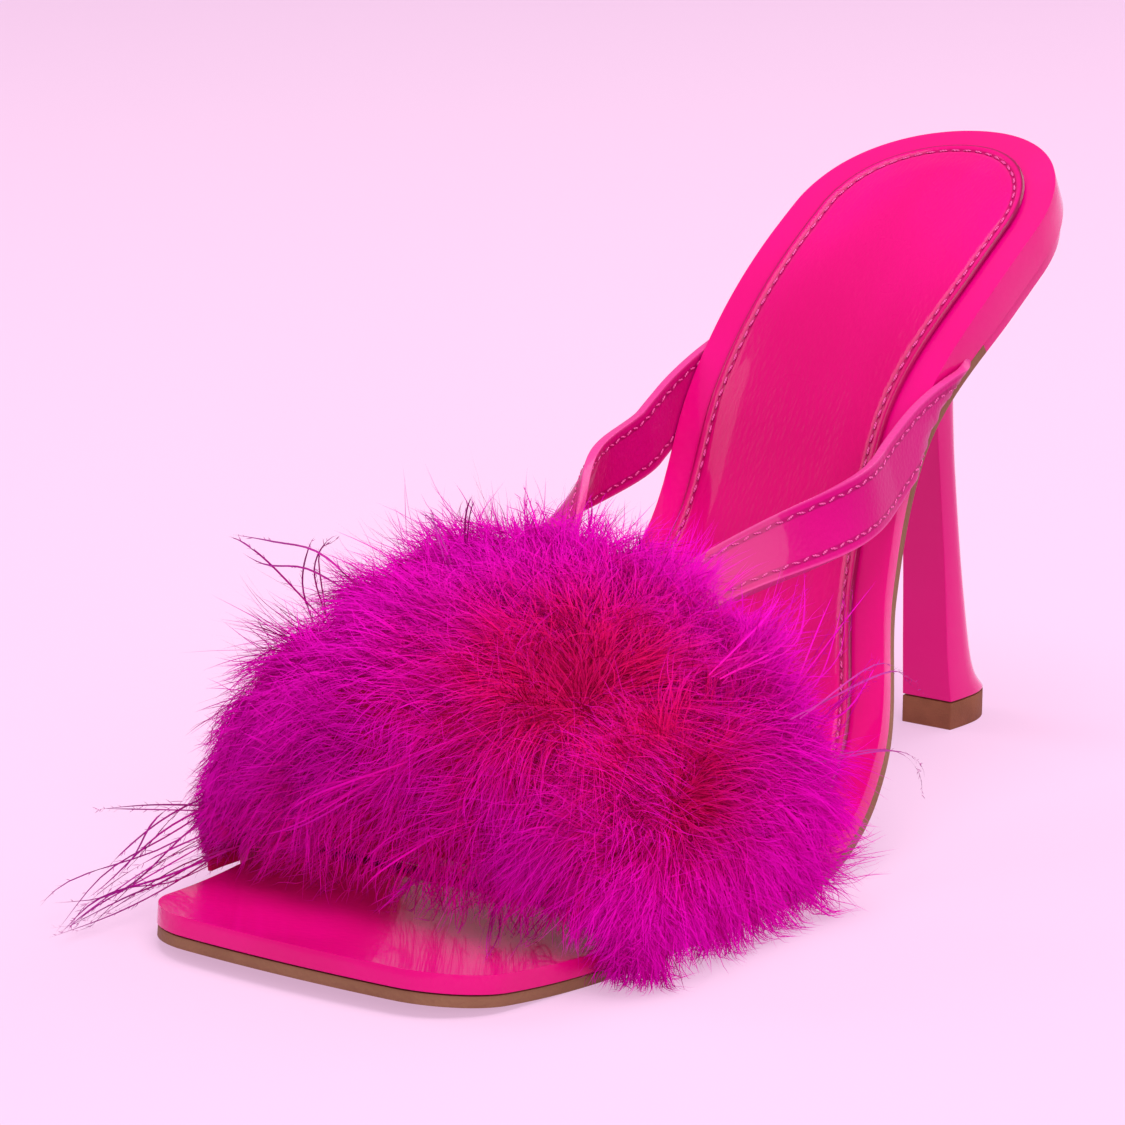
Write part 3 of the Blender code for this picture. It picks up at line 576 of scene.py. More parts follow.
def make_plume(name, roots, tips, far, roughness=0.75):
    """Dyed barbs: red at the root, violet towards the tip and away from the plumes' hearts, with painted
    light and shade in their brightness and hue and a painted glow.
    """
    stuff, tree, shader, _ = blank(name, roughness)
    along, heart, tone_and_shade = (attribute(tree, label) for label in ("along", "heart", "tone_and_shade"))
    outwards = math_node(tree, "MULTIPLY_ADD", heart, 0.8, math_node(tree, "MULTIPLY", along, 0.5))
    violet = step_node(tree, outwards, 0.28, 0.98)
    colour = mix_node(tree, violet, roots, tips)
    paler = math_node(tree, "MULTIPLY", step_node(tree, along, 0.75, 1.0), 0.35)
    colour = mix_node(tree, paler, colour, far)
    shade = node(tree, "ShaderNodeHueSaturation")
    tree.links.new(colour, shade.inputs["Color"])
    # Brightness from tone_and_shade: random clump tone mixed with painted light on the pouf's top and painted
    # shade round the hearts.
    tree.links.new(math_node(tree, "MULTIPLY_ADD", tone_and_shade, 0.55, 0.62), shade.inputs["Value"])
    tree.links.new(shade.outputs["Color"], shader.inputs["Base Color"])
    # Painted glow: a weak emission in the barbs' own colour stands in for light scattered through the down.
    tree.links.new(shade.outputs["Color"], shader.inputs["Emission Color"])
    shader.inputs["Emission Strength"].default_value = 0.10
    shader.inputs["Specular IOR Level"].default_value = 0.03
    return stuff


def make_wisp():
    """Long strands: plum and mauve, with a redder root."""
    stuff, tree, shader, _ = blank("wisp_dye", 0.6)
    along, tone_and_shade = attribute(tree, "along"), attribute(tree, "tone_and_shade")
    colour = mix_node(tree, step_node(tree, along, 0.0, 0.8), (0.55, 0.002, 0.28), (0.20, 0.008, 0.15))
    colour = mix_node(tree, math_node(tree, "MULTIPLY", tone_and_shade, 0.45), colour, (0.60, 0.01, 0.42))
    tree.links.new(colour, shader.inputs["Base Color"])
    shader.inputs["Specular IOR Level"].default_value = 0.2
    return stuff


# The sole

def build_outsole(stuff):
    cells = pattern(0.0002, 150, 30, end=BREAST)
    piece = grid_piece("tan_outsole", place(cells[..., 0], cells[..., 1], 0.0))
    modify(piece, "SOLIDIFY", thickness=OUTSOLE_THICKNESS, offset=1.0, use_even_offset=True)
    modify(piece, "BEVEL", width=0.0003, segments=2, limit_method="ANGLE", angle_limit=math.radians(50))
    smooth_piece(piece)
    return finish(piece, stuff, "outsole")


def build_footbed(stuff):
    cells = pattern(0.0, 190, 44)
    x, s = cells[..., 0], cells[..., 1]
    piece = grid_piece("wrapped_footbed", place(x, s, OUTSOLE_THICKNESS + GAP))
    shares_group(piece, footbed_thickness(x, s) / SEAT_THICKNESS)
    modify(piece, "SOLIDIFY", thickness=SEAT_THICKNESS, offset=1.0, vertex_group="thickness",
           use_quality_normals=True)
    bm = bmesh.new()
    bm.from_mesh(piece.data)
    weights = bm.edges.layers.float.new("bevel_weight_edge")
    for edge in bm.edges:
        if edge.calc_face_angle(0.0) > math.radians(50):
            y = sum(v.co.y for v in edge.verts) / 2
            edge[weights] = 0.55 + 0.45 * float(ease((y - 0.06) / 0.05))
    bm.to_mesh(piece.data)
    bm.free()
    modify(piece, "BEVEL", width=0.0025, segments=5, limit_method="WEIGHT", use_clamp_overlap=True)
    smooth_piece(piece, 50)
    return finish(piece, stuff, "footbed")


def sock_height(rim):
    """Padding of the sock: rolled edge, a groove under the stitches, then a soft rise."""
    edge = 0.00045 * (1 - np.sqrt(np.clip(1 - (1 - np.clip(rim / 0.0006, 0, 1)) ** 2, 0, 1)))
    groove = 0.00035 * np.exp(-((rim - STITCH_INSET) / 0.0005) ** 2)
    rise = 0.00045 * ease((rim - STITCH_INSET) / 0.006)
    return rise - edge - groove


def build_sock(stuff):
    cells = pattern(SOCK_INSET, 240, 56, start=SOCK_START)
    x, s = cells[..., 0], cells[..., 1]
    rim = rim_distance(cells)
    low = OUTSOLE_THICKNESS + 2 * GAP + footbed_thickness(x, s)
    top = place(x, s, low + SOCK_THICKNESS + sock_height(rim))
    piece = grid_piece("stitched_sock", top)
    point_values(piece, "rim", rim)
    modify(piece, "SOLIDIFY", thickness=SOCK_THICKNESS, offset=-1.0, use_even_offset=True)
    smooth_piece(piece, 60)
    return finish(piece, stuff, "insole")


def one_stitch(length, width):
    """A small capsule of thread, lying along X."""
    deselect()
    bpy.ops.mesh.primitive_uv_sphere_add(segments=6, ring_count=4, radius=0.5)
    ball = bpy.context.object
    points = np.array([v.co for v in ball.data.vertices])
    faces = [tuple(p.vertices) for p in ball.data.polygons]
    bpy.data.objects.remove(ball)
    points = points[:, (2, 0, 1)] * (length, width, width * 0.7)
    return points, faces


def lay_stitches(name, stuff, spots, ways, normals, length, width, slant):
    """Copies of one stitch along a line, each turned a little to either side."""
    points, faces = one_stitch(length, width)
    places, loops = [], []
    for k, (spot, way, normal) in enumerate(zip(spots, ways, normals)):
        turn = slant if k % 2 else -slant
        across = np.cross(normal, way)
        along = way * math.cos(turn) + across * math.sin(turn)
        across = np.cross(normal, along)
        places.append(spot + points @ np.array([along, across, normal]))
        loops += [tuple(i + k * len(points) for i in face) for face in faces]
    piece = plain_mesh(name, np.vstack(places), loops)
    pick(piece)
    bpy.ops.object.shade_smooth()
    return finish(piece, stuff)


def build_sock_stitches(stuff):
    """Stitches all round the sock, except under the vamp."""
    lines = []
    for side in (MEDIAL, LATERAL):
        rim = rim_side(side, SOCK_INSET + STITCH_INSET)
        lines.append(rim[rim[:, 1] > SOCK_START * SOLE_LENGTH + 0.002])
    line = np.vstack((lines[0], lines[1][::-1]))
    length = np.linalg.norm(np.diff(line, axis=0), axis=1).sum()
    count = int(length / STITCH_PITCH)
    flat = resample(line, (np.arange(count) + 0.5) / count)
    ahead = resample(line, (np.arange(count) + 0.9) / count)
    low = OUTSOLE_THICKNESS + 2 * GAP + SOCK_THICKNESS
    height = low + footbed_thickness(flat[:, 0], flat[:, 1]) - 0.00018
    spots = place(flat[:, 0], flat[:, 1], height)
    ways = place(ahead[:, 0], ahead[:, 1], height) - spots
    ways /= np.linalg.norm(ways, axis=1, keepdims=True)
    normals = place(flat[:, 0], flat[:, 1], height + 0.001) - spots
    normals /= np.linalg.norm(normals, axis=1, keepdims=True)
    lay_stitches("sock_stitches", stuff, spots, ways, normals,
                 STITCH_LENGTH, STITCH_WIDTH, math.radians(4))


# The heel

def heel_section(height, width, depth, breast, sides, back):
    """A flat section of the heel: a straight breast and a round back, from medial to medial."""
    corner = math.acos(BREAST_FLAT)
    belly = BELLY * depth
    half = width / 2
    ring = [(HEEL_SIDESHIFT + half * BREAST_FLAT * t, breast, height) for t in (crowded(back, 0.6) * 2 - 1)]
    count = 2 * sides + back
    for k in range(1, count):
        angle = -corner + (math.pi + 2 * corner) * k / count
        reach = (depth - belly) if 0 < angle < math.pi else belly / math.sin(corner)
        ring.append((HEEL_SIDESHIFT + half * math.cos(angle),
                     breast + belly + reach * math.sin(angle), height))
    return np.array(ring)


def between(rings, steps):
    """More rings between the given ones, along smooth curves through them."""
    stack = np.array(rings)
    tangents = np.gradient(stack, axis=0)
    made = []
    for k in range(len(stack) - 1):
        for t in np.arange(steps) / steps:
            made.append((2 * t**3 - 3 * t**2 + 1) * stack[k] + (t**3 - 2 * t**2 + t) * tangents[k]
                        + (3 * t**2 - 2 * t**3) * stack[k + 1] + (t**3 - t**2) * tangents[k + 1])
    return made + [stack[-1]]


def build_heel(stuff):
    sides, back = 40, 24
    cells = pattern(HEEL_INSET, sides, back, start=BREAST + GAP / SOLE_LENGTH)
    x, s = cells[..., 0], cells[..., 1]
    rims = []
    for drop in (0.0, CUP_RIM):
        layer = place(x, s, OUTSOLE_THICKNESS - drop)
        rims.append(np.vstack((layer[0], layer[1:, -1], layer[-1, -2::-1], layer[-2:0:-1, 0])))
    sections = [heel_section(height * HEEL_HEIGHT, width * TIP_WIDTH, depth * TIP_DEPTH,
                             TIP_BREAST - forward * TIP_DEPTH, sides, back)
                for height, width, depth, forward in HEEL_ROWS]
    cup, neck = rims[1], sections[0]
    flare = [cup]
    for down, inwards in FLARE_ROWS:
        flare.append(np.column_stack((cup[:, :2] + (neck[:, :2] - cup[:, :2]) * inwards,
                                      cup[:, 2] + (neck[:, 2] - cup[:, 2]) * down)))
    tip = heel_section(TOP_PIECE + GAP, TIP_WIDTH, TIP_DEPTH, TIP_BREAST, sides, back)
    rings = [rims[0]] + between(flare + sections + [tip], 6)
    count = len(tip)
    points = np.vstack(rings)
    faces = [tuple(range(count))]
    for r in range(len(rings) - 1):
        for k in range(count):
            following = (k + 1) % count
            faces.append((r * count + following, r * count + k,
                          (r + 1) * count + k, (r + 1) * count + following))
    faces.append(tuple(range(len(points) - 1, len(points) - count - 1, -1)))
    piece = plain_mesh("covered_heel", points, faces)
    modify(piece, "BEVEL", width=0.0004, segments=3, limit_method="ANGLE", angle_limit=math.radians(38))
    smooth_piece(piece, 42)
    return finish(piece, stuff, "heel")


def build_top_piece(stuff):
    ring = heel_section(0.0, TIP_WIDTH, TIP_DEPTH, TIP_BREAST, 40, 24)
    count = len(ring)
    points = np.vstack((ring, ring + (0, 0, TOP_PIECE)))
    faces = [tuple(range(count))[::-1], tuple(range(count, 2 * count))]
    faces += [(k, (k + 1) % count, count + (k + 1) % count, count + k) for k in range(count)]
    piece = plain_mesh("tan_top_piece", points, faces)
    modify(piece, "BEVEL", width=0.0003, segments=2, limit_method="ANGLE", angle_limit=math.radians(50))
    smooth_piece(piece)
    return finish(piece, stuff, "heel_top_piece")


# The upper

def fold_lengths():
    under = STRAP_TUCK + GAP + STRAP_THICKNESS / 2 - STRAP_BEND
    return under, under + STRAP_BEND * math.pi / 2


def fold(q, s, side):
    """A point of the upper's middle layer round the footbed's edge, as (x, s, h)."""
    wall = float(half_width(s, side)) + GAP + STRAP_THICKNESS / 2
    level = OUTSOLE_THICKNESS + GAP + STRAP_THICKNESS / 2
    under, bent_up = fold_lengths()
    if q < under:
        return side * (wall - STRAP_BEND - under + q), s, level
    if q < bent_up:
        angle = (q - under) / STRAP_BEND
        return (side * (wall - STRAP_BEND * (1 - math.sin(angle))), s,
                level + STRAP_BEND * (1 - math.cos(angle)))
    return side * wall, s, level + STRAP_BEND + q - bent_up


def arch(turn, s, out=0.0):
    """Points of the band's arch: turn 0 and pi are the walls, half pi the top."""
    turn, s, out = np.broadcast_arrays(turn, s, out)
    side = np.where(turn < math.pi / 2, LATERAL, MEDIAL)
    foot = OUTSOLE_THICKNESS + GAP + STRAP_THICKNESS / 2 + STRAP_BEND
    share = (s / SOLE_LENGTH - BAND_FRONT) / (BAND_REAR - BAND_FRONT)
    height = BAND_FRONT_HEIGHT + (BAND_REAR_HEIGHT - BAND_FRONT_HEIGHT) * share
    power = 2 / ARCH_FULLNESS
    wall = side * (half_width(s, side) + GAP + STRAP_THICKNESS / 2 + out)
    x = BAND_PEAK + (wall - BAND_PEAK) * np.abs(np.cos(turn)) ** power
    return x, s, foot + (height + out - foot) * np.abs(np.sin(turn)) ** power


def arch_point(turn, s, out=0.0):
    return place(*arch(turn, s, out))


def build_band(stuff):
    bent_up = fold_lengths()[1]
    lengths = list(np.linspace(0.0, bent_up, 12)[:-1])
    turns = np.linspace(math.pi, 0, 61)
    rows = []
    for s in SOLE_LENGTH * np.linspace(BAND_FRONT, BAND_REAR, 25):
        row = [place(*fold(q, s, MEDIAL)) for q in lengths]
        row += list(arch_point(turns, s))
        row += [place(*fold(q, s, LATERAL)) for q in reversed(lengths)]
        rows.append(row)
    piece = grid_piece("vamp_band", np.array(rows))
    modify(piece, "SOLIDIFY", thickness=STRAP_THICKNESS, offset=0.0, use_even_offset=True)
    smooth_piece(piece)
    return finish(piece, stuff, "upper")


def band_frame(x, v):
    s = SOLE_LENGTH * (BAND_FRONT + v * (BAND_REAR - BAND_FRONT))
    turns = np.linspace(math.pi, 0.0, 120)[1:-1]
    turn = np.interp(x, arch(turns, s)[0], turns)
    point = Vector(arch_point(turn, s))
    forward = (Vector(arch_point(turn, s - 0.001)) - point).normalized()
    across = (Vector(arch_point(turn - 0.01, s)) - point).normalized()
    return point, forward.cross(across).normalized(), forward


def strap_rows(side, offsets):
    """Rows of points along an instep strap, from its fold under the footbed to under the band."""
    slant = math.radians(STRAP_SLANT)
    under, bent_up = fold_lengths()
    half = STRAP_WIDTH / 2
    crossing = (under + bent_up) / 2 / math.cos(slant)
    clear = (bent_up + STRAP_FREE + half * math.sin(slant)) / math.cos(slant)
    first_s = STRAP_CROSSING * SOLE_LENGTH + crossing * math.sin(slant)
    rows = []
    for a in np.linspace(0.0, clear, 64):
        rows.append([Vector(place(*fold(a * math.cos(slant) + b * math.sin(slant),
                                        first_s - a * math.sin(slant) + b * math.cos(slant), side)))
                     for b in offsets])
    middle = len(offsets) // 2
    start = rows[-1][middle]
    way = (start - rows[-2][middle]).normalized()
    facing = (rows[-1][-1] - rows[-1][0]).cross(way).normalized() * side
    end, end_facing, end_way = band_frame(side * STRAP_SPREAD, 1.0)
    end -= end_facing * STRAP_SEAT
    reach = (end - start).length * STRAP_HANDLE
    handles = (start, start + way * reach, end - end_way * reach, end)
    centres, facings = [start], [facing]
    for t in np.linspace(0, 1, 61)[1:]:
        weights = ((1 - t)**3, 3 * t * (1 - t)**2, 3 * t * t * (1 - t), t**3)
        point = sum((handle * weight for handle, weight in zip(handles, weights)), Vector())
        bow = Vector((side * STRAP_BOW, 0.0, STRAP_LIFT)) * (4 * t * (1 - t)) ** 1.5
        centres.append(point + bow)
        facings.append(facing.lerp(end_facing, float(ease(t))).normalized())
    for t in np.linspace(0, 1, 7)[1:]:
        point, normal, _ = band_frame(side * STRAP_SPREAD, 1.0 - STRAP_LAP * t)
        centres.append(point - normal * STRAP_SEAT)
        facings.append(normal)
    for k in range(1, len(centres)):
        forward = (centres[min(k + 1, len(centres) - 1)] - centres[k - 1]).normalized()
        width = forward.cross(facings[k]).normalized() * side
        rows.append([centres[k] + width * b for b in offsets])
    return np.array(rows)


def build_strap(name, side, stuff, thread):
    half = STRAP_WIDTH / 2
    offsets = np.array([-1, -0.96, -0.88, -0.7, -0.45, 0, 0.45, 0.7, 0.88, 0.96, 1]) * half
    rows = strap_rows(side, offsets)
    if side == MEDIAL:
        rows = rows[::-1]
    piece = grid_piece(name, rows)
    point_values(piece, "rim", np.broadcast_to(half - np.abs(offsets), rows.shape[:2]))
    modify(piece, "SOLIDIFY", thickness=STRAP_THICKNESS, offset=0.0)
    modify(piece, "BEVEL", width=0.0004, segments=3, limit_method="ANGLE", angle_limit=math.radians(50))
    pick(piece)
    bpy.ops.object.mode_set(mode="EDIT")
    bpy.ops.mesh.select_all(action="SELECT")
    bpy.ops.mesh.normals_make_consistent(inside=False)
    bpy.ops.object.mode_set(mode="OBJECT")
    smooth_piece(piece, 50)
    finish(piece, stuff)
    edge = half - STRAP_STITCH_INSET
    lines = strap_rows(side, np.array([-edge, 0.0, edge]))
    centre = lines[:, 1]
    for tag, line in (("lower", lines[:, 0]), ("upper", lines[:, 2])):
        length = np.linalg.norm(np.diff(line, axis=0), axis=1).sum()
        count = int(length / STRAP_STITCH_PITCH)
        shares = (np.arange(count) + 0.5) / count
        spots = resample(line, shares)
        ways = resample(line, shares + 0.3 / count) - spots
        ways /= np.linalg.norm(ways, axis=1, keepdims=True)
        inwards = resample(centre, shares) - spots
        normals = np.cross(ways, inwards)
        normals /= np.linalg.norm(normals, axis=1, keepdims=True)
        for face in (1, -1):
            lay_stitches(f"{name}_stitches_{tag}_{'out' if face > 0 else 'in'}", thread,
                         spots + normals * face * (STRAP_THICKNESS / 2 + 0.00004), ways, normals * face,
                         STRAP_STITCH_LENGTH, STRAP_STITCH_WIDTH, math.radians(16))
    return piece


# The feathers

HEARTS = np.array([(0.025, -0.012, 0.044), (0.044, -0.008, 0.029)])   # where the two plumes are sewn on
GRAVITY = np.array((0.0, 0.0, -1.0))
SOFTNESS = 0.75              # share of the pouf's own roundness in the shading of a barb
WISP_SOFTNESS = 0.3          # the same for a wisp or a strand
BARBULE_LENGTH = 0.0011      # of the short hairs on a wisp or a strand
BARBULE_WIDTH = 0.00010
FLOOR_CLEARANCE = 0.0008     # of every hair over the floor
POUF_ROUNDNESS = 2.4         # of its section from front to rear: 2 is an ellipse
POUF_THICKNESS = 0.0128
POUF_OVERHANG = 0.0070
POUF_LIFT = 0.0030
POUF_HEM = 0.0120
FRINGE_PART = 0.27           # shares of the way over the pouf: its fringe, and where its rear begins
REAR_PART = 0.85


def unit(vectors):
    return vectors / np.maximum(np.linalg.norm(vectors, axis=-1, keepdims=True), 1e-9)


def pouf_point(u, v):
    """A point over the pouf's inner surface, u across the band and v from the fringe to the rear."""
    turn = math.pi * (1 - np.clip(u, 0.0, 1.0))
    down = np.clip((FRINGE_PART - v) / FRINGE_PART, 0.0, 1.1) * math.pi / 2
    over = np.clip((v - FRINGE_PART) / (REAR_PART - FRINGE_PART), 0.0, 1.0)
    behind = np.clip((v - REAR_PART) / (1 - REAR_PART), 0.0, 1.2)
    s = SOLE_LENGTH * (BAND_FRONT + over * (BAND_REAR - BAND_FRONT)) + POUF_OVERHANG * behind
    x, s, h = arch(turn, s, STRAP_THICKNESS / 2 + GAP + POUF_LIFT * behind)
    return place(x, s - POUF_OVERHANG * np.sin(down), h - np.maximum(h - POUF_HEM, 0) * (1 - np.cos(down)))


def pouf_place(u, v, out):
    """Point, outward normal and rearward way at places over the pouf."""
    point = pouf_point(u, v)
    rear = unit(pouf_point(u, v + 0.02) - pouf_point(u, v - 0.02))
    across = unit(pouf_point(u + 0.015, v) - pouf_point(u - 0.015, v))
    normal = unit(np.cross(across, rear))
    return point + normal * np.asarray(out)[..., None], normal, rear


def side_trim(u):
    """How full the pouf is towards its ends: least at the big toe's side."""
    return (0.30 + 0.70 * ease(u / 0.36)) * (0.70 + 0.30 * ease((1 - u) / 0.25))


def pouf_depth(u, v):
    """Thickness of the pouf at places over it."""
    dome = np.sqrt(np.clip(1 - np.abs(2 * np.clip(v, 0, 1) - 1) ** POUF_ROUNDNESS, 0, 1))
    flank = 0.40 + 0.60 * np.sin(math.pi * np.clip(u, 0.0, 1.0)) ** 0.6
    return POUF_THICKNESS * (0.42 + 0.58 * dome * flank) * side_trim(u)


def keep_clear(paths):
    """Lift what would sink into the floor or the footbed."""
    x, y = paths[..., 0], paths[..., 1]
    s = np.interp(y, PROFILE[1], PROFILE[0])
    over = (np.abs(x) < half_width(s, x) + 0.001) & (y > PROFILE[1][0] - 0.001)
    ground = np.interp(y, PROFILE[1], PROFILE[2])
    floor = np.where(over, ground + OUTSOLE_THICKNESS + FOOTBED_THICKNESS + 2 * GAP + 0.0006, FLOOR_CLEARANCE)
    inside = over & (paths[..., 2] < floor) & (paths[..., 2] > ground - 0.004)
    low = paths[..., 2] < FLOOR_CLEARANCE
    paths[..., 2] = np.where(inside, floor, np.where(low, FLOOR_CLEARANCE, paths[..., 2]))
    return paths


def away_from_hearts(chance, points, normal):
    """Ways along the pouf that lead off the nearest heart, and how far off it lies."""
    apart = points[:, None] - HEARTS[None]
    distance = np.linalg.norm(apart, axis=2)
    nearest = np.argmin(distance + chance.normal(0, 0.002, distance.shape), axis=1)
    rows = np.arange(len(points))
    away = apart[rows, nearest]
    away = away - normal * np.sum(away * normal, axis=1, keepdims=True)
    return unit(away), distance[rows, nearest]


def barbs(chance, count, clumps, u_range, v_range, layer, length, lift, stations,
          wildness=0.12, lean=0.30, droop=0.25, curl=0.5, sway=0.0006, width=0.012):
    """Curved centre lines of feather barbs, in soft clumps combed away from the plumes' hearts."""
    clump_u = chance.uniform(*u_range, clumps)
    clump_v = chance.uniform(*v_range, clumps)
    clump_lean = chance.normal(0.0, lean, (clumps, 3))
    clump_layer = chance.uniform(*layer, clumps)
    clump_length = chance.uniform(0.75, 1.2, clumps)
    clump_tone = chance.uniform(0.0, 1.0, clumps)
    which = chance.integers(0, clumps, count)
    u = np.clip(clump_u[which] + chance.normal(0, width, count), 0.0, 1.0)
    v = clump_v[which] + chance.normal(0, width * 2, count)
    depth = pouf_depth(u, v) * np.clip(clump_layer[which] + chance.normal(0, 0.12, count), 0.02, 0.95)
    root, normal, _ = pouf_place(u, v, depth)
    away, far = away_from_hearts(chance, root, normal)
    near = np.exp(-(far / 0.008) ** 2)
    root = root - normal * (near * depth * 0.45)[:, None]
    random_lean = clump_lean[which] + chance.normal(0, wildness, (count, 3))
    rise = (lift + 0.9 * near + chance.normal(0, wildness, count))[:, None]
    start = unit(normal * rise + away + random_lean)
    short = 0.55 + 0.45 * ease(v / 0.30)
    reach = length * short * side_trim(u) * clump_length[which] * chance.uniform(0.6, 1.1, count)
    reach = reach[:, None, None]
    t = np.linspace(0, 1, stations)[None, :, None]
    bend = (clump_lean[which] * curl + chance.normal(0, wildness, (count, 3))
            - normal * 0.15 + GRAVITY * droop)
    side = unit(np.cross(start, chance.normal(0, 1, (count, 3))))
    phase = chance.uniform(0, 6.3, count)[:, None, None]
    wave = np.sin(t * chance.uniform(3.0, 8.0, count)[:, None, None] + phase)
    paths = (root[:, None] + reach * (t * start[:, None] + t * t * bend[:, None])
             + side[:, None] * wave * sway * t)
    # Painted light and shade: barbs that face up or sit high get a lighter tone and a more violet heart
    # value, barbs close to a heart a darker tone; both also rise towards the outer side.
    top_lit = np.clip(0.55 + 0.75 * normal[:, 2] + 5 * (root[:, 2] - 0.020), 0, 1)
    outer = ease((root[:, 0] - 0.036) / 0.014)
    heart = np.clip(np.clip(far / 0.040, 0, 1) * (0.30 + 0.70 * top_lit) + 0.55 * outer, 0, 1)
    tone_and_shade = (0.45 * clump_tone[which] + 0.40 * top_lit + 0.55 * outer) * (1 - 0.75 * near)
    return keep_clear(paths), normal, heart, tone_and_shade


def ribbons(name, stuff, chance, paths, facing, widths, heart, tone_and_shade, softness=SOFTNESS):
    """One mesh of flat tapered barbs along the given centre lines, shaded soft as one pouf."""
    count, stations = paths.shape[:2]
    way = unit(np.gradient(paths, axis=1))
    twist = chance.normal(0, 1, (count, 1, 3))
    side = unit(np.cross(way, twist))
    flat = np.cross(side, way)
    side *= np.where(np.sum(flat * facing[:, None], axis=2, keepdims=True) > 0, 1.0, -1.0)
    flat = np.cross(side, way)
    taper = np.interp(np.linspace(0, 1, stations), (0, 0.25, 0.7, 1), (0.7, 1.0, 0.8, 0.0))
    half = (np.asarray(widths).reshape(-1, 1, 1) / 2) * taper[None, :, None]
    left = paths - side * half
    right = paths + side * half
    per = 2 * (stations - 1) + 1
    points = np.empty((count, per, 3))
    points[:, 0:-1:2] = left[:, :-1]
    points[:, 1:-1:2] = right[:, :-1]
    points[:, -1] = paths[:, -1]
    base = (np.arange(count) * per)[:, None]
    quads = []
    for k in range(stations - 2):
        i = 2 * k
        quads.append(base + np.array([[i, i + 1, i + 3, i + 2]]))
    last = 2 * (stations - 2)
    tips = base + np.array([[last, last + 1, last + 2]])
    quads = np.concatenate(quads, axis=0)
    indices = np.concatenate((quads.reshape(-1), tips.reshape(-1)))
    sizes = np.concatenate((np.full(len(quads), 4), np.full(len(tips), 3)))
    starts = np.concatenate(([0], np.cumsum(sizes)[:-1]))
    mesh = bpy.data.meshes.new(name)
    mesh.vertices.add(count * per)
    mesh.vertices.foreach_set("co", points.reshape(-1))
    mesh.loops.add(len(indices))
    mesh.loops.foreach_set("vertex_index", indices.astype(np.int32))
    mesh.polygons.add(len(sizes))
    mesh.polygons.foreach_set("loop_start", starts.astype(np.int32))
    mesh.polygons.foreach_set("loop_total", sizes.astype(np.int32))
    mesh.update(calc_edges=True)
    mesh.polygons.foreach_set("use_smooth", np.ones(len(sizes), dtype=bool))
    soft = unit(facing[:, None] * softness + unit(flat) * (1 - softness) + way * 0.25)
    normals = np.repeat(soft, 2, axis=1)[:, :-1].reshape(-1, 3)
    mesh.normals_split_custom_set_from_vertices(normals)
    piece = bpy.data.objects.new(name, mesh)
    bpy.context.scene.collection.objects.link(piece)
    share = np.repeat(np.linspace(0, 1, stations), 2)[:-1]
    point_values(piece, "along", np.tile(share, count))
    point_values(piece, "heart", np.repeat(heart, per))
    point_values(piece, "tone_and_shade", np.repeat(tone_and_shade, per))
    return finish(piece, stuff)


def build_core(stuff):
    """The dense heart of the pouf, where the barbs are sewn to the band."""
    u = np.linspace(0.0, 1.0, 100)[None, :]
    v = np.linspace(0.03, 0.97, 60)[:, None]
    u, v = np.broadcast_arrays(u, v)
    lumps = 0.10 * (np.sin(u * 61 + v * 17) + np.sin(u * 37 - v * 29))
    dome = np.sqrt(np.clip(1 - np.abs(2 * v - 1) ** POUF_ROUNDNESS, 0, 1)) * np.sin(math.pi * u) ** 0.3
    point, normal, _ = pouf_place(u, v, 0.0)
    flat = (point + normal * (0.0008 + pouf_depth(u, v) * (0.34 + lumps) * dome)[..., None]).reshape(-1, 3)
    for heart in HEARTS:
        near = np.exp(-(np.linalg.norm(flat - heart, axis=1) / 0.012) ** 2)
        flat = flat - normal.reshape(-1, 3) * (near * 0.003)[:, None]
    piece = grid_piece("plume_core", flat.reshape(point.shape))
    modify(piece, "SOLIDIFY", thickness=0.0007, offset=-1.0)
    count = len(piece.data.vertices)
    point_values(piece, "along", np.zeros(count))
    point_values(piece, "heart", np.full(count, 0.25))
    # Tone 0 paints the core in the barbs' darkest value: painted shade deep inside the pouf.
    point_values(piece, "tone_and_shade", np.full(count, 0.0))
    pick(piece)
    bpy.ops.object.shade_smooth()
    return finish(piece, stuff, "feather_trim")


# Long strands in millimetres: how many, how far they scatter, then where they run
WISPS = (
    (2, 1.0, (-34, -26, 15), (-45, -32, 16), (-59, -34, 12)),
    (4, 1.6, (-32, -25, 20), (-38, -34, 13), (-44, -46, 5), (-44, -58, 2)),
    (5, 1.8, (-31, -27, 14), (-39, -38, 9), (-42, -52, 3), (-43, -61, 2)),
    (5, 1.6, (-29, -29, 12), (-36, -38, 8), (-39, -50, 5), (-41, -60, 2)),
    (4, 1.4, (-31, -31, 9), (-34, -40, 7), (-36, -50, 6), (-41, -58, 2)),
    (3, 1.4, (-34, -23, 21), (-41, -32, 14), (-43, -42, 8), (-44, -49, 5)),
    (1, 0.4, (-20, -7, 48), (-28, -10, 55), (-38, -10, 56), (-47, -12, 56)),
    (1, 0.4, (-22, -8, 48), (-31, -10, 52), (-38, -12, 53), (-45, -12, 54)),
    (1, 0.4, (-30, -7, 43), (-38, -10, 52), (-42, -12, 55), (-46, -12, 56)),
    (1, 0.4, (-32, -6, 39), (-35, -6, 48), (-33, -6, 55), (-31, -6, 59)),
    (2, 0.8, (-30, -6, 42), (-32, -6, 52), (-29, -6, 56), (-25, -6, 59)),
    (2, 0.9, (-13, 6, 48), (-19, 8, 57), (-21, 8, 60)),
    (2, 0.8, (-13, 8, 49), (-15, 10, 59), (-13, 10, 63)),
    (2, 1.0, (9, 20, 46), (11, 22, 55), (10, 23, 59)),
    (2, 1.0, (45, 16, 34), (46, 40, 37), (46, 52, 33), (45, 65, 26)),
    (2, 0.9, (46, 14, 27), (48, 40, 25), (48, 50, 19), (46, 55, 10)),
)
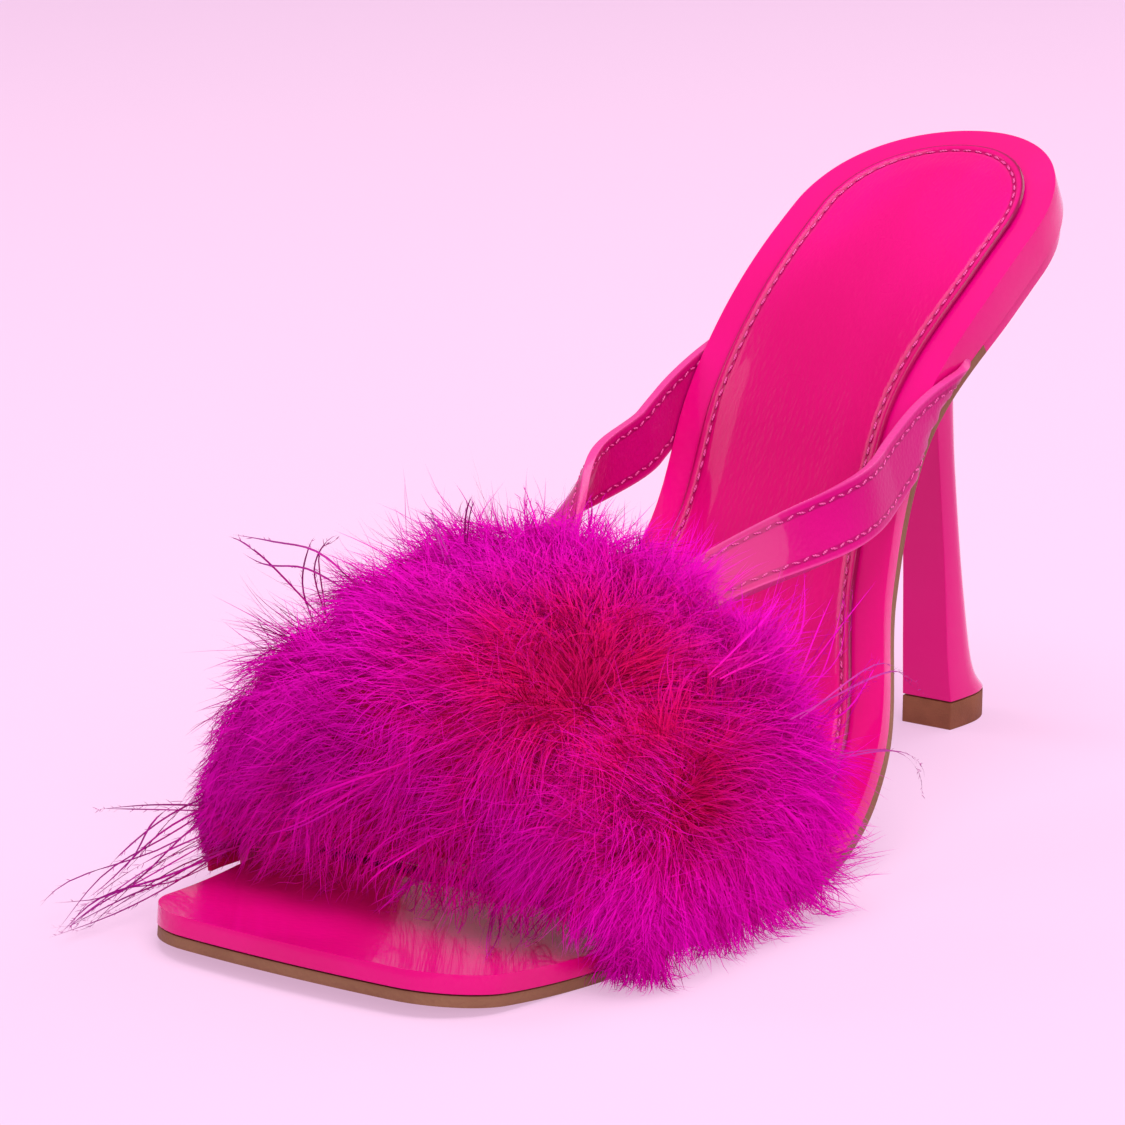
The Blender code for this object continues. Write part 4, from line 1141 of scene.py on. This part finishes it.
STRANDS = (
    (5, 0.9, (-1, 14, 50), (-5, 16, 58), (-9, 18, 65)),
    (5, 0.9, (3, 18, 46), (2, 20, 57), (2, 20, 65)),
    (8, 1.8, (40, 7, 44), (39, 22, 46), (36, 35, 53)),
    (8, 2.0, (43, 16, 34), (41, 33, 42), (38, 44, 52)),
    (8, 2.2, (40, 2, 43), (38, 20, 45), (34, 33, 52)),
    (8, 1.8, (45, 20, 30), (46, 32, 34), (44, 44, 38)),
    (12, 0.9, (19, -14, 22), (17, -21, 12), (22, -32, 7), (34, -48, 7)),
    (7, 0.8, (11, -20, 22), (4, -24, 12), (3, -37, 8)),
    (9, 1.1, (33, -8, 20), (27, -12, 13), (28, -28, 8), (32, -43, 7)),
    (9, 1.3, (29, -14, 22), (20, -15, 13), (22, -25, 8)),
    (18, 1.8, (13, -31, 32), (-6, -32, 23), (-22, -33, 14)),
    (18, 1.8, (8, -34, 33), (-10, -35, 23), (-25, -32, 14)),
    (12, 2.0, (20, -29, 27), (6, -33, 18), (-4, -34, 11)),
)


def wisp_lines(chance, rows, stations):
    """Smooth strands through the given places, each strand strayed a little from its row."""
    lines, sizes = [], []
    for strands, scatter, *spots in rows:
        spots = np.array(spots, dtype=float)
        knots = np.linspace(0, 1, len(spots))
        for _ in range(strands):
            stray = chance.normal(0, scatter, spots.shape) * np.linspace(0.5, 1.1, len(spots))[:, None]
            ends = np.linspace(0, chance.uniform(0.75, 1.0), stations)
            table = [(k, *spot) for k, spot in zip(knots, spots + stray)]
            line = np.column_stack([smooth(table, axis + 1, ends) for axis in range(3)])
            lines.append(line / 1000)
            sizes.append(chance.uniform(0.00024, 0.00040))
    return keep_clear(np.array(lines)), np.array(sizes)


def side_barbules(chance, lines, each, length):
    """Short hairs that stand off both sides of each strand and lean towards its tip."""
    count, stations = lines.shape[:2]
    way = unit(np.gradient(lines, axis=1))
    place_at = chance.uniform(0.08, 0.97, (count, each)) * (stations - 1)
    low = np.minimum(place_at.astype(int), stations - 2)
    part = (place_at - low)[..., None]
    rows = np.arange(count)[:, None]
    roots = lines[rows, low] * (1 - part) + lines[rows, low + 1] * part
    ways = unit(way[rows, low])
    across = unit(np.cross(ways, chance.normal(0, 1, (count, 1, 3))))
    across = across * chance.choice((-1.0, 1.0), (count, each, 1))
    across = unit(across + chance.normal(0, 0.35, across.shape))
    reach = length * chance.uniform(0.4, 1.1, (count, each, 1)) * (1.1 - 0.6 * place_at[..., None] / stations)
    t = np.linspace(0, 1, 4)[None, None, :, None]
    paths = roots[:, :, None] + reach[:, :, None] * (t * (across + ways * 0.9)[:, :, None]
                                                     + t * t * ways[:, :, None] * 0.5)
    return keep_clear(paths.reshape(-1, 4, 3))


def build_wisps(plume, wisp):
    chance = np.random.default_rng(23)
    for name, rows, stuff, each, heart in (
            ("wisp", WISPS, wisp, 18, 1.0),
            ("strand", STRANDS, plume, 10, 0.8)):
        lines, sizes = wisp_lines(chance, rows, 14)
        facing = unit(lines[:, 7] - np.array((0.0, 0.0, 0.020)))
        hearts = np.full(len(lines), heart)
        tones = chance.uniform(0.3, 1, len(lines))
        ribbons(f"{name}_lines", stuff, chance, lines, facing, sizes, hearts, tones, WISP_SOFTNESS)
        hairs = side_barbules(chance, lines, each, BARBULE_LENGTH)
        hearts = np.full(len(hairs), heart)
        ribbons(f"{name}_barbules", stuff, chance, hairs, np.repeat(facing, each, axis=0), BARBULE_WIDTH,
                hearts, hearts * 0.7, WISP_SOFTNESS)


def build_feathers(plume, wisp):
    chance = np.random.default_rng(5)
    build_core(plume)
    whole = (0.03, 1.0)
    layers = (
        ("plume_down", 22000, 700, whole, (0.02, 0.98), (0.10, 0.50), 0.0100, 0.30, 6, 0.00020),
        ("plume_barbs", 22000, 520, whole, (0.02, 0.98), (0.35, 0.80), 0.0120, 0.22, 6, 0.00017),
        ("plume_tips", 15000, 380, whole, (0.05, 0.95), (0.60, 0.95), 0.0110, 0.30, 7, 0.00015),
    )
    for name, count, clumps, across, over, layer, length, lift, stations, width in layers:
        paths, facing, heart, tone_and_shade = barbs(chance, count, clumps, across, over, layer, length, lift, stations)
        ribbons(name, plume, chance, paths, facing, width, heart, tone_and_shade)
    paths, facing, heart, tone_and_shade = barbs(chance, 6000, 2400, whole, (0.0, 1.0), (0.5, 0.9), 0.0085, 0.9, 6,
                                       wildness=0.35, lean=0.5, droop=0.1)
    ribbons("plume_haze", plume, chance, paths, facing, 0.00011, heart, tone_and_shade)
    build_wisps(plume, wisp)


# The camera, the floor and the light

def build_stage():
    deselect()
    bpy.ops.mesh.primitive_plane_add(size=12.0)
    floor = bpy.context.object
    floor.name = "pale_floor"
    stuff, tree, shader, where = blank("pale_floor", 0.9)
    grain = noise_node(tree, where, 3.0, 2.0)
    colour = mix_node(tree, grain, (0.335, 0.225, 0.308), (0.343, 0.231, 0.316))
    tree.links.new(colour, shader.inputs["Base Color"])
    shader.inputs["Specular IOR Level"].default_value = 0.0
    shader.inputs["Emission Color"].default_value = (0.99, 0.645, 0.915, 1.0)
    shader.inputs["Emission Strength"].default_value = 0.58
    floor.data.materials.append(stuff)
    scene = bpy.context.scene
    scene.view_settings.view_transform = "Standard"
    world = bpy.data.worlds.new("studio")
    scene.world = world
    world.use_nodes = True
    world.node_tree.nodes["Background"].inputs["Color"].default_value = (1.0, 0.92, 0.97, 1.0)
    world.node_tree.nodes["Background"].inputs["Strength"].default_value = 0.36
    for name, place_at, size, power in (
            ("key", (0.30, -0.10, 1.7), 1.5, 28.0),
            ("left", (-1.3, -0.3, 0.8), 1.0, 6.0),
            ("right", (1.2, -0.9, 0.7), 0.7, 9.0),
            ("rear", (0.2, 1.3, 1.0), 1.0, 8.0)):
        light = bpy.data.lights.new(name, "AREA")
        light.shape = "DISK"
        light.size = size
        light.energy = power
        lamp = bpy.data.objects.new(name, light)
        scene.collection.objects.link(lamp)
        lamp.location = place_at
        lamp.rotation_euler = (Vector((0, 0.03, 0.03)) - Vector(place_at)).to_track_quat("-Z", "Y").to_euler()


VIEW_ANGLES = (34.0, 14.1, 0.84)       # azimuth, elevation and roll, in degrees
VIEW_DISTANCE = 0.8288
VIEW_TARGET = (0.0, 0.0501, 0.040)


def build_camera():
    azimuth, elevation, roll = (math.radians(angle) for angle in VIEW_ANGLES)
    back = Vector((math.sin(azimuth) * math.cos(elevation), -math.cos(azimuth) * math.cos(elevation),
                   math.sin(elevation)))
    target = Vector(VIEW_TARGET)
    view = bpy.data.cameras.new("camera")
    view.sensor_width = 36.0
    view.lens = 2820.0 / 640.0 * 36.0
    view.shift_x = -0.102
    view.shift_y = 0.032
    view.clip_start = 0.05
    camera = bpy.data.objects.new("camera", view)
    bpy.context.scene.collection.objects.link(camera)
    camera.location = target + back * VIEW_DISTANCE
    turn = back.to_track_quat("Z", "Y").to_matrix().to_4x4()
    from_roll = Vector((0, 0, 1))
    camera.rotation_euler = (turn @ Matrix.Rotation(roll, 4, from_roll)).to_euler()
    bpy.context.scene.camera = camera


build_stage()
build_camera()
THREAD = make_thread()
STRAP = make_strap_leather()
PLUME = make_plume("plume_dye", (0.60, 0.001, 0.095), (0.66, 0.001, 0.40), (0.74, 0.003, 0.54))
build_outsole(make_sole_leather())
build_footbed(make_wrap_patent())
build_sock(make_sock_leather())
build_sock_stitches(THREAD)
build_heel(make_heel_patent())
build_top_piece(make_wear_rubber())
build_band(STRAP)
build_strap("strap_outer", LATERAL, STRAP, THREAD)
build_strap("strap_inner", MEDIAL, STRAP, THREAD)
build_feathers(PLUME, make_wisp())
